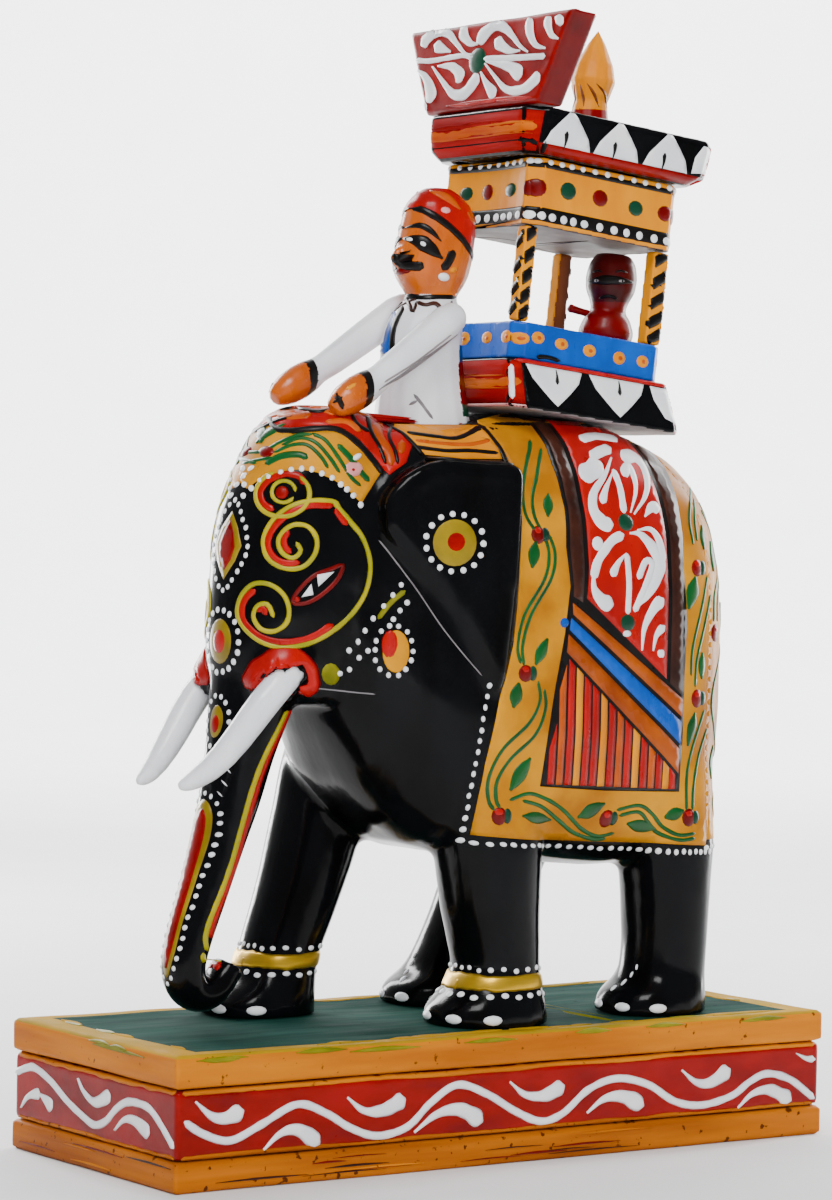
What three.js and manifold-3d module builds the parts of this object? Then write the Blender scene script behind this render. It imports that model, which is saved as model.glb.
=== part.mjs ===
// Painted wooden elephant with a rider and a howdah, on a plinth.
// Millimetres, +Z up. The head looks along -Y and +X is the elephant's left side.
// The origin is the middle of the plinth's underside.
import * as THREE from 'three';
import { LoftGeometry } from 'three/addons/geometries/LoftGeometry.js';
import { mergeVertices } from 'three/addons/utils/BufferGeometryUtils.js';
import Module from 'manifold-3d';

const wasm = await Module();
wasm.setup();

// ---------------------------------------------------------------- driving dimensions

const GAP = 0.3;               // play between two pieces that meet
const LEFT = 1;                // sign of x on the elephant's left side
const RIGHT = -1;

const PLINTH = { length: 200, width: 80, base: 7.6, block: 16.7, top: 8.1, edge: 0.8, blockInset: 0.5 };
const PLINTH_TOP = PLINTH.base + GAP + PLINTH.block + GAP + PLINTH.top;

const LEG_X = 21;              // distance of each leg's axis from the middle plane
const SOLE = PLINTH_TOP + GAP;

const EAR = { outerX: 38, rearY: -0.2, turn: THREE.MathUtils.degToRad(15), depth: 13, bevel: 0.8 };

const TUSK = { rootX: 16.4, tipX: 9.8 };

const RIDER_Y = -5.5;          // axis of the rider's trunk
const RIDER_SEAT = 184.2;
const FAR_REACH = { y: -0.8, z: 3 };   // the right arm is set further forward and higher

const HOWDAH = {
  y: 30.9,
  z: 201,
  tilt: THREE.MathUtils.degToRad(-6.1),
  halfWidth: 20.8,
  frontY: -22.4,
  rearY: 26,
  cornerCut: 3.2,
  railHeight: 9.4,
  floorHeight: 12.8,
  friezeBottom: 34.5,
  friezeHeight: 17.4,
  roofHeight: 12.2,
  frontPost: 3.8,
  rearPost: 4.8,
  postWidth: 3.8,
  postEdge: 0.4,
  postInset: 2.6,
  postInsetX: 3.8,
  farRearPostY: 17,
};
const FLOOR_BOTTOM = -GAP - HOWDAH.floorHeight;
const ROOF_BOTTOM = HOWDAH.friezeBottom + HOWDAH.friezeHeight + GAP;
const ROOF_TOP = ROOF_BOTTOM + HOWDAH.roofHeight;

const VISOR = { height: 23.4, thickness: 8.4, bottomHalf: 24.6, topHalf: 35.4, frontY: -27, edge: 0.8 };
const FINIAL_Y = 8.5;
const PASSENGER = { x: 6.5, y: 16.5 };
const SPIGOT = { radius: 2, inRoof: 6, inRail: 5 };   // round tenons under the bud and the bust

const SCREW = { shank: 1.5, head: 3.2, headHeight: 2.4, rim: 0.6, recess: 0.8, reach: 13, point: 2 };
const NAIL = { shank: 1, head: 2.1, headHeight: 1, point: 2 };
const FLOOR_NAIL = { y: [-10, 12], length: 30, sink: 0.5 };
const VISOR_NAIL = { x: [RIGHT * 13, LEFT * 13], fromFront: 5.6, length: 18, sink: 0.6 };
const PEG = { radius: 2, down: 10, up: 12 };

// ---------------------------------------------------------------- looks

const look = (color, roughness = 0.35, metalness = 0) =>
  new THREE.MeshStandardMaterial({ color, roughness, metalness });

const LOOKS = {
  black: look(0x0c0b0c, 0.22),
  white: look(0xe4e2e6, 0.35),
  red: look(0xa8131c, 0.35),
  darkRed: look(0x74101a, 0.45),
  ochre: look(0xd08a1c, 0.4),
  teal: look(0x17534a, 0.4),
  yellow: look(0xe8a417, 0.4),
  blue: look(0x1f78c8, 0.4),
  steel: look(0x9a9a9a, 0.4, 0.9),
  wood: look(0xb58a5a, 0.7),
};

// ---------------------------------------------------------------- solids

// A closed geometry becomes a solid that can be joined or cut.
function solid(geometry) {
  const bare = new THREE.BufferGeometry();
  bare.setAttribute('position', geometry.attributes.position);
  bare.setIndex(geometry.index);
  const merged = mergeVertices(bare, 1e-4);
  const mesh = new wasm.Mesh({
    numProp: 3,
    vertProperties: new Float32Array(merged.attributes.position.array),
    triVerts: new Uint32Array(merged.index.array),
  });
  return new wasm.Manifold(mesh);
}

function geometryOf(shape) {
  const mesh = shape.getMesh();
  const geometry = new THREE.BufferGeometry();
  geometry.setAttribute('position', new THREE.BufferAttribute(mesh.vertProperties, 3));
  geometry.setIndex(new THREE.BufferAttribute(mesh.triVerts, 1));
  return geometry;
}

const join = (solids) => solids.reduce((sum, next) => sum.add(next));
const cut = (first, tools) => tools.reduce((rest, tool) => rest.subtract(tool), first);

// Rows of numbers are eased into a finer run of rows.
function ease(rows, steps) {
  const places = rows.map((row, index) => index);
  const curve = new THREE.CubicInterpolant(places, rows.flat(), rows[0].length);
  const last = rows.length - 1;
  return Array.from({ length: steps + 1 }, (_, k) => [...curve.evaluate(k * last / steps)]);
}

// One rounded section. The power is 2 for an ellipse and more for a squarer outline,
// with a second power for the half on the negative side of v.
function ring(centre, u, v, halfU, halfV, count, power = 2, lowPower = power) {
  const bend = (value, exponent) => Math.sign(value) * Math.abs(value) ** (2 / exponent);
  return Array.from({ length: count }, (_, k) => {
    const angle = 2 * Math.PI * (k + 0.5) / count;
    const exponent = Math.sin(angle) < 0 ? lowPower : power;
    return centre.clone()
      .addScaledVector(u, halfU * bend(Math.cos(angle), exponent))
      .addScaledVector(v, halfV * bend(Math.sin(angle), exponent));
  });
}

const loft = (sections) =>
  solid(new LoftGeometry(sections, { closed: true, capStart: true, capEnd: true }));

const X = new THREE.Vector3(1, 0, 0);
const Y = new THREE.Vector3(0, 1, 0);
const Z = new THREE.Vector3(0, 0, 1);

// A stack of level sections. A row is height, middle x, middle y, half width, half length.
function column(rows, steps, count, power = 2, grow = 0) {
  return loft(ease(rows, steps).map(([z, x, y, halfX, halfY]) =>
    ring(new THREE.Vector3(x, y, z), X, Y, halfX + grow, halfY + grow, count, power)));
}

// A round limb along a bent line. A row is x, y, z, half width, half thickness.
function limb(rows, steps, count, grow = 0, power = 2) {
  const eased = ease(rows, steps);
  const points = eased.map(([x, y, z]) => new THREE.Vector3(x, y, z));
  return loft(eased.map(([, , , halfWide, halfThick], k) => {
    const before = points[Math.max(k - 1, 0)];
    const after = points[Math.min(k + 1, points.length - 1)];
    const along = after.clone().sub(before).normalize();
    const thick = new THREE.Vector3().crossVectors(along, X).normalize();
    const wide = new THREE.Vector3().crossVectors(thick, along).normalize();
    return ring(points[k], wide, thick, halfWide + grow, halfThick + grow, count, power);
  }));
}

const mirrored = (rows, side) => rows.map(([x, ...rest]) => [x * side, ...rest]);

// A turned pin on the z axis, from pairs of radius and height.
function turned(pairs, segments = 12) {
  const profile = pairs.map(([radius, height]) => new THREE.Vector2(radius, height));
  const geometry = new THREE.LatheGeometry(profile, segments);
  geometry.rotateX(Math.PI / 2);
  return solid(geometry);
}

// A level board with eased edges, its underside at height z.
function board(halfX, halfY, z, height, edge) {
  const shape = new THREE.Shape();
  const x = halfX - edge;
  const y = halfY - edge;
  shape.moveTo(-x, -y).lineTo(x, -y).lineTo(x, y).lineTo(-x, y).closePath();
  const geometry = new THREE.ExtrudeGeometry(shape, {
    depth: height - 2 * edge,
    bevelThickness: edge,
    bevelSize: edge,
    bevelSegments: 1,
  });
  geometry.translate(0, 0, z + edge);
  return solid(geometry);
}

// ---------------------------------------------------------------- fasteners

const FEET = {
  front_left: [LEFT * LEG_X, 4],
  front_right: [RIGHT * LEG_X, -38],
  rear_left: [LEFT * LEG_X, 56],
  rear_right: [RIGHT * LEG_X, 18],
};

function footScrew([x, y], grow = 0) {
  const { shank, head, headHeight, rim, recess, reach, point } = SCREW;
  const top = PLINTH_TOP + reach + grow;
  const low = grow > 0 ? -1 : recess;
  return turned([
    [0, low],
    [head + grow, low],
    [head + grow, recess + rim],
    [shank + grow, recess + headHeight],
    [shank + grow, top - point],
    [0, top],
  ]).translate([x, y, 0]);
}

function nail(x, y, top, length, grow = 0) {
  const { shank, head, headHeight, point } = NAIL;
  return turned([
    [0, -length - grow],
    [shank + grow, point - length - grow],
    [shank + grow, -headHeight - grow],
    [head + grow, -headHeight - grow],
    [head + grow, grow],
    [0, grow],
  ], 10).translate([x, y, top]);
}

function riderPeg(grow = 0) {
  const low = RIDER_SEAT - PEG.down - grow;
  const high = RIDER_SEAT + PEG.up + grow;
  const radius = PEG.radius + grow;
  return turned([[0, low], [radius, low], [radius, high], [0, high]]).translate([0, RIDER_Y, 0]);
}

// ---------------------------------------------------------------- plinth

function plinthBoards() {
  const halfX = PLINTH.width / 2;
  const halfY = PLINTH.length / 2;
  const inset = PLINTH.blockInset;
  const holes = Object.values(FEET).map((foot) => footScrew(foot, GAP));
  const blockZ = PLINTH.base + GAP;
  const topZ = blockZ + PLINTH.block + GAP;
  return {
    plinth_base: cut(board(halfX, halfY, 0, PLINTH.base, PLINTH.edge), holes),
    plinth_block: cut(board(halfX - inset, halfY - inset, blockZ, PLINTH.block, PLINTH.edge), holes),
    plinth_top: cut(board(halfX, halfY, topZ, PLINTH.top, PLINTH.edge), holes),
  };
}

// ---------------------------------------------------------------- elephant

// Barrel and rump. A row is y, underside, top line, half width, upper power, lower power.
function torso() {
  const rows = [
    [-44, 120, 176, 16, 2.4, 2.6],
    [-35, 98, 183, 25, 2.6, 3],
    [-22, 81.5, 186, 32, 2.8, 3.6],
    [-5, 75.6, 187, 35, 2.8, 4.2],
    [15, 74, 189.6, 35.5, 2.9, 4.4],
    [35, 71.6, 189.6, 35.5, 3.1, 4.4],
    [50, 71.6, 184.6, 35.3, 3.1, 4.4],
    [61, 72.8, 180.2, 34, 3.2, 4],
    [68.6, 76, 174, 31, 3.1, 3.2],
    [73.4, 82, 166, 26.4, 2.9, 2.8],
    [76.2, 91, 156, 20, 2.7, 2.6],
    [77.2, 106, 145, 11, 2.4, 2.4],
  ];
  return loft(ease(rows, 19).map(([y, low, high, half, power, lowPower]) => {
    const centre = new THREE.Vector3(0, y, (low + high) / 2);
    return ring(centre, X.clone().negate(), Z, half, (high - low) / 2, 24, power, lowPower);
  }));
}

// Skull, from the jaw up to the crown. A row is height, front y, rear y, half width, power.
function skull() {
  const rows = [
    [114.5, -60, -25, 13.5, 2.2],
    [116, -62.5, -22.5, 16, 2.3],
    [122, -65.4, -20, 18.8, 2.3],
    [132, -65.8, -17, 20.6, 2.3],
    [146, -64.8, -16, 21.2, 2.3],
    [160, -63.2, -16, 21, 2.3],
    [171, -59.6, -17, 20, 2.25],
    [180, -55, -19, 18, 2.2],
    [185.4, -51, -22.5, 15, 2.1],
    [188, -47.5, -26, 11.5, 2],
    [189.2, -43.5, -31, 6, 2],
  ];
  return loft(ease(rows, 15).map(([z, front, rear, half, power]) => {
    const centre = new THREE.Vector3(0, (front + rear) / 2, z);
    return ring(centre, X, Y, half, (rear - front) / 2, 24, power);
  }));
}

function trunk() {
  return limb([
    [0, -53.4, 128, 14.5, 11.6],
    [0, -56.2, 114, 11.2, 9.8],
    [0, -58.8, 103, 9.4, 8.3],
    [0, -62, 90, 8.1, 7.2],
    [0, -66, 77, 7.3, 6.2],
    [0, -70, 65, 6.8, 5.6],
    [0, -73, 55.6, 6.5, 5.3],
    [0, -74.4, 48.6, 6.3, 5.1],
    [0, -73, 43.8, 6.1, 4.8],
    [0, -69.4, 41.8, 5.8, 4.4],
    [0, -65, 43.8, 5.4, 4],
    [0, -61, 48.6, 4.6, 3.4],
  ], 21, 14, 0, 2.3);
}

// Legs, from sole to shoulder or hip. A row is height, middle x, middle y, half x, half y.
const LEG_ROWS = {
  front_left: [
    [SOLE, LEG_X, 3.5, 14, 15.8],
    [37.5, LEG_X, 3.3, 14.2, 15.8],
    [41.5, LEG_X, 5, 12.6, 12.8],
    [47, LEG_X, 6.2, 11.7, 10.6],
    [57, LEG_X, 5, 12.3, 11.6],
    [67, LEG_X, 3.7, 13, 12.9],
    [92, LEG_X, 1.8, 13.6, 15],
    [114, LEG_X - 1, 1.5, 13.5, 17],
  ],
  front_right: [
    [SOLE, -LEG_X, -39.2, 13.6, 14.8],
    [37.5, -LEG_X, -39.2, 13.8, 14.8],
    [41.5, -LEG_X, -35.8, 12.4, 11.6],
    [47, -LEG_X, -33.6, 11.7, 9.8],
    [61, -LEG_X, -28.4, 12.3, 10.2],
    [73, -LEG_X, -24.4, 13, 10.8],
    [90, -LEG_X, -19, 13.5, 12.8],
    [114, 1 - LEG_X, -11, 13.5, 15.5],
  ],
  rear_left: [
    [SOLE, LEG_X, 56.6, 13.2, 14.3],
    [37.5, LEG_X, 56.8, 13.4, 14.2],
    [41.5, LEG_X, 59.2, 12.2, 11.6],
    [47, LEG_X, 60.6, 11.7, 10.2],
    [64, LEG_X + 0.5, 60.6, 12.5, 10.8],
    [85, LEG_X + 0.5, 59, 13, 13.6],
    [112, LEG_X - 1, 54, 13.5, 17],
  ],
  rear_right: [
    [SOLE, -LEG_X, 16.8, 13.2, 14.2],
    [37.5, -LEG_X, 17, 13.4, 14.1],
    [41.5, -LEG_X, 20.4, 12.2, 11.6],
    [47, -LEG_X, 23.4, 11.7, 10.6],
    [58, -LEG_X, 30, 12.3, 11.8],
    [76, -LEG_X, 38.5, 13, 14],
    [112, 1 - LEG_X, 50, 13.5, 18],
  ],
};

const leg = (rows) => column(rows, 9, 16, 2.3);

// A flap that stands proud of the neck. Its outline is drawn as seen from the side,
// y to the right and z up, and its face turns inwards towards the head.
function ear(side) {
  const outline = new THREE.Shape();
  outline.moveTo(-36.5, 166);
  outline.quadraticCurveTo(-31, 175.5, -20, 176.5);
  outline.lineTo(-2, 175.5);
  outline.quadraticCurveTo(0.3, 175, 0.2, 171);
  outline.lineTo(-0.4, 153);
  outline.quadraticCurveTo(-1.5, 136, -4.2, 120.5);
  outline.quadraticCurveTo(-5.5, 117.5, -7.5, 121);
  outline.quadraticCurveTo(-13, 134, -22, 144.5);
  outline.quadraticCurveTo(-31, 152, -36, 158);
  outline.closePath();
  const flap = new THREE.ExtrudeGeometry(outline, {
    depth: EAR.depth,
    curveSegments: 4,
    bevelThickness: EAR.bevel,
    bevelSize: EAR.bevel,
    bevelOffset: -EAR.bevel,
    bevelSegments: 2,
  });
  flap.applyMatrix4(new THREE.Matrix4().makeBasis(Y, Z, X));
  flap.translate(-EAR.depth - EAR.bevel, -EAR.rearY, 0);
  flap.rotateZ(-EAR.turn);
  flap.translate(EAR.outerX, EAR.rearY, 0);
  const near = solid(flap);
  return side === LEFT ? near : near.mirror([1, 0, 0]);
}

// The swelling that a tusk grows from.
function tuskSocket(side) {
  const bulge = new THREE.SphereGeometry(1, 14, 10);
  bulge.scale(7.2, 11, 7);
  bulge.rotateX(THREE.MathUtils.degToRad(38));
  bulge.translate(side * 13.2, -54.4, 123.4);
  return solid(bulge);
}

// The tail lies on the rump as a raised cord with a tuft.
function tail() {
  return limb([
    [0, 68, 172, 3, 3],
    [0, 74.4, 163, 2.6, 3],
    [0, 77.5, 150, 2.4, 2.6],
    [0, 78.6, 136, 2.3, 2.4],
    [0, 78.6, 120, 2.3, 2.4],
    [0, 77.8, 106, 3, 3],
    [0, 76.6, 95, 3.6, 3.4],
    [0, 75, 87, 1.6, 1.8],
  ], 14, 8);
}

function tusk(side, grow = 0) {
  const { rootX, tipX } = TUSK;
  const rows = [
    [rootX - 1.5, -52, 124.5, 3.7, 3.7],
    [rootX, -57.5, 120.5, 4, 4],
    [rootX - 0.3, -63.5, 114, 4, 4],
    [rootX - 1.6, -69, 106.5, 3.7, 3.7],
    [rootX - 3.4, -74.5, 100, 3.2, 3.2],
    [tipX + 1, -79.5, 96, 2.4, 2.4],
    [tipX, -82.6, 94.6, 1.1, 1.1],
  ];
  return limb(mirrored(rows, side), 10, 10, grow);
}

function elephant() {
  const block = join([
    torso(),
    skull(),
    trunk(),
    ...Object.values(LEG_ROWS).map(leg),
    ear(LEFT),
    ear(RIGHT),
    tuskSocket(LEFT),
    tuskSocket(RIGHT),
    tail(),
  ]);
  return cut(block, [
    tusk(LEFT, GAP),
    tusk(RIGHT, GAP),
    riderTrunk(GAP),
    riderArm(LEFT, GAP),
    riderArm(RIGHT, GAP),
    riderPeg(GAP),
    inHowdah(floorSlab(GAP)),
    ...FLOOR_NAIL.y.map((y) => inHowdah(floorNail(y, GAP))),
    ...Object.values(FEET).map((foot) => footScrew(foot, GAP)),
  ]);
}

// ---------------------------------------------------------------- rider

function riderTrunk(grow = 0) {
  return column([
    [RIDER_SEAT - grow, 0, RIDER_Y, 12.2, 12.4],
    [190, 0, RIDER_Y, 11.2, 12],
    [198, 0, -5.8, 9.8, 11.2],
    [206, 0, -6, 9.5, 10.6],
    [212, 0, -5, 9.7, 9.4],
    [216, 0, -4, 8.6, 7.6],
    [218.4, 0, -3.2, 6.4, 6.3],
    [221, 0, -3.2, 6.8, 8.3],
    [225, 0, -3.3, 8.2, 10.3],
    [231, 0, -2.5, 8.8, 10.5],
    [238, 0, -1.3, 8.6, 9.9],
    [243.4, 0, -1.8, 6.8, 7.8],
    [246.6, 0, -2, 3, 3.4],
  ], 20, 16, 2.2, grow);
}

function riderFigure() {
  const nose = new THREE.SphereGeometry(1, 8, 6);
  nose.scale(1.7, 2.4, 3);
  nose.rotateX(THREE.MathUtils.degToRad(-18));
  nose.translate(0, -13.2, 228.4);
  return cut(riderTrunk().add(solid(nose)), [riderPeg(GAP), inHowdah(floorSlab(GAP))]);
}

// A straight sleeve with a loose fist, reaching down to the crown of the head.
function riderArm(side, grow = 0) {
  const reach = side === RIGHT ? FAR_REACH : { y: 0, z: 0 };
  const rows = [
    [9.6, -1.5, 214, 2.6, 2.8],
    [10.6, -4.5, 212.6, 4.2, 4.4],
    [11.6, -14, 206, 4, 4.3],
    [12.4, -25, 198.4, 3.5, 3.8],
    [12.6, -28.6, 196.2, 3.4, 3.6],
    [12.9, -33, 193.6, 4.6, 4.6],
    [13, -38.4, 190.4, 4.4, 4],
    [12.8, -41.6, 188.4, 2.2, 2],
  ].map(([x, y, z, ...size]) => [x, y + reach.y, z + reach.z, ...size]);
  return limb(mirrored(rows, side), 12, 10, grow);
}

// ---------------------------------------------------------------- howdah

// Howdah pieces are drawn about the middle of the cabin's foot, then leaned back.
const inHowdah = (shape) =>
  shape.rotate([THREE.MathUtils.radToDeg(HOWDAH.tilt), 0, 0]).translate([0, HOWDAH.y, HOWDAH.z]);

// A slab between two outlines. A row is height, half width, front y, rear y, corner cut.
function slab(rows) {
  return loft(rows.map(([z, halfX, front, rear, corner]) => [
    [-halfX + corner, front],
    [halfX - corner, front],
    [halfX, front + corner],
    [halfX, rear - corner],
    [halfX - corner, rear],
    [corner - halfX, rear],
    [-halfX, rear - corner],
    [-halfX, front + corner],
  ].map(([x, y]) => new THREE.Vector3(x, y, z))));
}

// The floor board widens downwards, and the roof board widens upwards.
function floorSlab(grow = 0) {
  return slab([
    [FLOOR_BOTTOM - grow, 26 + grow, -23.6 - grow, 31.4 + grow, 4],
    [FLOOR_BOTTOM + 1.4, 26 + grow, -23.6 - grow, 31.4 + grow, 4],
    [-GAP + grow, 22 + grow, -23.2 - grow, 28.6 + grow, 3],
  ]);
}

const roofSlab = () => slab([
  [ROOF_BOTTOM, 22, -24.6, 28.4, 3.4],
  [ROOF_BOTTOM + 2.6, 24.6, -27, 33, 4.4],
  [ROOF_TOP - 1, 25.6, -27.6, 34.4, 5],
  [ROOF_TOP, 24.8, -26.8, 33.6, 4.6],
]);

// The cabin's outline, with cut corners and a hollow front and back.
function cabinOutline(hollow) {
  const { halfWidth: x, frontY: front, rearY: rear, cornerCut: c } = HOWDAH;
  const outline = new THREE.Shape();
  outline.moveTo(-x + c, front);
  outline.quadraticCurveTo(0, front + 2 * hollow, x - c, front);
  outline.lineTo(x, front + c);
  outline.lineTo(x, rear - c);
  outline.lineTo(x - c, rear);
  outline.quadraticCurveTo(0, rear - 2 * hollow, -x + c, rear);
  outline.lineTo(-x, rear - c);
  outline.lineTo(-x, front + c);
  outline.closePath();
  return outline;
}

function cabinBlock(z, height, hollow) {
  const geometry = new THREE.ExtrudeGeometry(cabinOutline(hollow), {
    depth: height,
    curveSegments: 8,
    bevelEnabled: false,
  });
  geometry.translate(0, 0, z);
  return solid(geometry);
}

// A post stands on the rail under the frieze, set in from the cabin's side.
function post(side, y, length) {
  const { halfWidth, postWidth, postEdge, postInsetX, railHeight, friezeBottom } = HOWDAH;
  const low = railHeight + GAP;
  const height = friezeBottom - GAP - low;
  const x = side * (halfWidth - postInsetX);
  return board(postWidth / 2, length / 2, low, height, postEdge).translate([x, y, 0]);
}

// A board that widens upwards, standing on the front edge of the roof.
function visor() {
  const { height, thickness, bottomHalf, topHalf, edge } = VISOR;
  const outline = new THREE.Shape();
  outline.moveTo(-bottomHalf, edge);
  outline.lineTo(bottomHalf, edge);
  outline.lineTo(topHalf, height - edge);
  outline.lineTo(-topHalf, height - edge);
  outline.closePath();
  const geometry = new THREE.ExtrudeGeometry(outline, {
    depth: thickness - 2 * edge,
    bevelThickness: edge,
    bevelSize: edge,
    bevelSegments: 1,
  });
  geometry.applyMatrix4(new THREE.Matrix4().makeBasis(X, Z, Y.clone().negate()));
  geometry.translate(0, VISOR.frontY + thickness - edge, ROOF_TOP + GAP);
  return solid(geometry);
}

// A turned bud on a collar, with a spigot in the roof.
function finial(grow = 0) {
  const z = ROOF_TOP;
  const seat = z + GAP - grow;
  const { radius, inRoof } = SPIGOT;
  return turned([
    [0, z - inRoof - grow],
    [radius + grow, z - inRoof - grow],
    [radius + grow, seat],
    [5 + grow, seat],
    [5.4 + grow, z + 3],
    [4.4 + grow, z + 8.6],
    [4.8 + grow, z + 9.6],
    [6 + grow, z + 14],
    [5 + grow, z + 18.4],
    [2.4 + grow, z + 24],
    [0, z + 27.8],
  ]).translate([0, FINIAL_Y, 0]);
}

// A turned bust with a spigot in the rail block.
function passenger(grow = 0) {
  const z = HOWDAH.railHeight;
  const seat = z + GAP - grow;
  const { radius, inRail } = SPIGOT;
  return turned([
    [0, z - inRail - grow],
    [radius + grow, z - inRail - grow],
    [radius + grow, seat],
    [6.8 + grow, seat],
    [7.4 + grow, z + 3],
    [6.2 + grow, z + 6.4],
    [4.6 + grow, z + 8.6],
    [5.2 + grow, z + 11],
    [6.6 + grow, z + 14],
    [6.9 + grow, z + 17.4],
    [6.2 + grow, z + 21],
    [4.6 + grow, z + 23.4],
    [0, z + 24],
  ], 16).translate([PASSENGER.x, PASSENGER.y, 0]);
}

// A short stick that points forward from the bust.
function passengerArm() {
  const x = PASSENGER.x - 1;
  const y = PASSENGER.y;
  const z = HOWDAH.railHeight + 7;
  const rows = [
    [x, y - 3, z, 1, 1],
    [x, y - 8, z + 0.3, 1, 1],
    [x, y - 12, z + 0.7, 1.3, 1.2],
  ];
  return cut(limb(rows, 4, 8), [passenger(GAP)]);
}

const floorNail = (y, grow = 0) =>
  nail(0, y, -GAP - FLOOR_NAIL.sink, FLOOR_NAIL.length, grow);

// The visor's nails go up through the roof from its underside.
function visorNail(x, grow = 0) {
  const { fromFront, length, sink } = VISOR_NAIL;
  const upward = nail(0, 0, 0, length, grow).mirror([0, 0, 1]);
  return upward.translate([x, VISOR.frontY + fromFront, ROOF_BOTTOM + sink]);
}

function howdahPieces() {
  const { frontY, rearY, railHeight, friezeBottom, friezeHeight } = HOWDAH;
  const { frontPost, rearPost, postInset } = HOWDAH;
  const frontPostY = frontY + postInset;
  const rearPostY = rearY - postInset - (rearPost - frontPost) / 2;
  return {
    howdah_floor: [cut(floorSlab(), FLOOR_NAIL.y.map((y) => floorNail(y, GAP))), LOOKS.black],
    howdah_rail: [cut(cabinBlock(0, railHeight, 0.8), [passenger(GAP)]), LOOKS.blue],
    howdah_post_front_left: [post(LEFT, frontPostY, frontPost), LOOKS.yellow],
    howdah_post_front_right: [post(RIGHT, frontPostY, frontPost), LOOKS.yellow],
    howdah_post_rear_left: [post(LEFT, rearPostY, rearPost), LOOKS.yellow],
    howdah_post_rear_right: [post(RIGHT, HOWDAH.farRearPostY, frontPost), LOOKS.yellow],
    howdah_frieze: [cabinBlock(friezeBottom, friezeHeight, 1.6), LOOKS.yellow],
    howdah_roof: [
      cut(roofSlab(), [finial(GAP), ...VISOR_NAIL.x.map((x) => visorNail(x, GAP))]),
      LOOKS.black,
    ],
    howdah_visor: [cut(visor(), VISOR_NAIL.x.map((x) => visorNail(x, GAP))), LOOKS.red],
    roof_finial: [finial(), LOOKS.yellow],
    passenger_figure: [passenger(), LOOKS.darkRed],
    passenger_arm: [passengerArm(), LOOKS.black],
    howdah_nail_front: [floorNail(FLOOR_NAIL.y[0]), LOOKS.steel],
    howdah_nail_rear: [floorNail(FLOOR_NAIL.y[1]), LOOKS.steel],
    visor_nail_right: [visorNail(VISOR_NAIL.x[0]), LOOKS.steel],
    visor_nail_left: [visorNail(VISOR_NAIL.x[1]), LOOKS.steel],
  };
}

// ---------------------------------------------------------------- the whole figure

const group = new THREE.Group();

function place(parent, name, shape, material) {
  const mesh = new THREE.Mesh(geometryOf(shape), material.clone());
  mesh.name = name;
  parent.add(mesh);
}

const boards = plinthBoards();
place(group, 'plinth_base', boards.plinth_base, LOOKS.ochre);
place(group, 'plinth_block', boards.plinth_block, LOOKS.red);
place(group, 'plinth_top', boards.plinth_top, LOOKS.teal);

place(group, 'elephant_body', elephant(), LOOKS.black);
place(group, 'tusk_left', tusk(LEFT), LOOKS.white);
place(group, 'tusk_right', tusk(RIGHT), LOOKS.white);

place(group, 'mahout_figure', riderFigure(), LOOKS.white);
place(group, 'mahout_arm_left', cut(riderArm(LEFT), [riderTrunk(GAP)]), LOOKS.white);
place(group, 'mahout_arm_right', cut(riderArm(RIGHT), [riderTrunk(GAP)]), LOOKS.white);
place(group, 'mahout_peg', riderPeg(), LOOKS.wood);

const howdah = new THREE.Group();
howdah.position.set(0, HOWDAH.y, HOWDAH.z);
howdah.rotation.x = HOWDAH.tilt;
group.add(howdah);
for (const [name, [shape, material]] of Object.entries(howdahPieces())) {
  place(howdah, name, shape, material);
}

for (const [name, foot] of Object.entries(FEET)) {
  place(group, `foot_screw_${name}`, footScrew(foot), LOOKS.steel);
}

export default group;
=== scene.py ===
import math
import random

import bmesh
import bpy
import numpy as np
from mathutils import Matrix, Vector, kdtree, noise
from mathutils.bvhtree import BVHTree
from mathutils.geometry import delaunay_2d_cdt


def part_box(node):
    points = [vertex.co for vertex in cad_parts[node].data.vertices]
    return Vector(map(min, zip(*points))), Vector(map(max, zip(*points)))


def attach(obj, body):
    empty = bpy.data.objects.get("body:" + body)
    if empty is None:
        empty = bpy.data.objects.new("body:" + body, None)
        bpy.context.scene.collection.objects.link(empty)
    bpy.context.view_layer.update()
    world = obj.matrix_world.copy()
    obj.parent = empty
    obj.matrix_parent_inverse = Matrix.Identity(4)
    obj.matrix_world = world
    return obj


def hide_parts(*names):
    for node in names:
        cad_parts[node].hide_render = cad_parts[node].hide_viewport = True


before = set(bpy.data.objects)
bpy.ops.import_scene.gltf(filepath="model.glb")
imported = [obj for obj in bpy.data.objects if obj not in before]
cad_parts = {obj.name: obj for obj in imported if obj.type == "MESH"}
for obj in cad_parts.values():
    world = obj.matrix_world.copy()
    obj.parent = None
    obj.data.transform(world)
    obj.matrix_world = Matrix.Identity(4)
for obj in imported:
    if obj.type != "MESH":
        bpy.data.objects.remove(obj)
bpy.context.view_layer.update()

# Everything below is in millimetres, as the part is; meshes are scaled to metres when made.
MM = 0.001
NEAR, FAR = 1, -1
rng = random.Random(11)


# ---------------------------------------------------------------- paint and wood


def material(name):
    """An empty node material and its shader."""
    mat = bpy.data.materials.new(name)
    mat.use_nodes = True
    return mat, mat.node_tree.nodes, mat.node_tree.links, mat.node_tree.nodes["Principled BSDF"]


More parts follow.
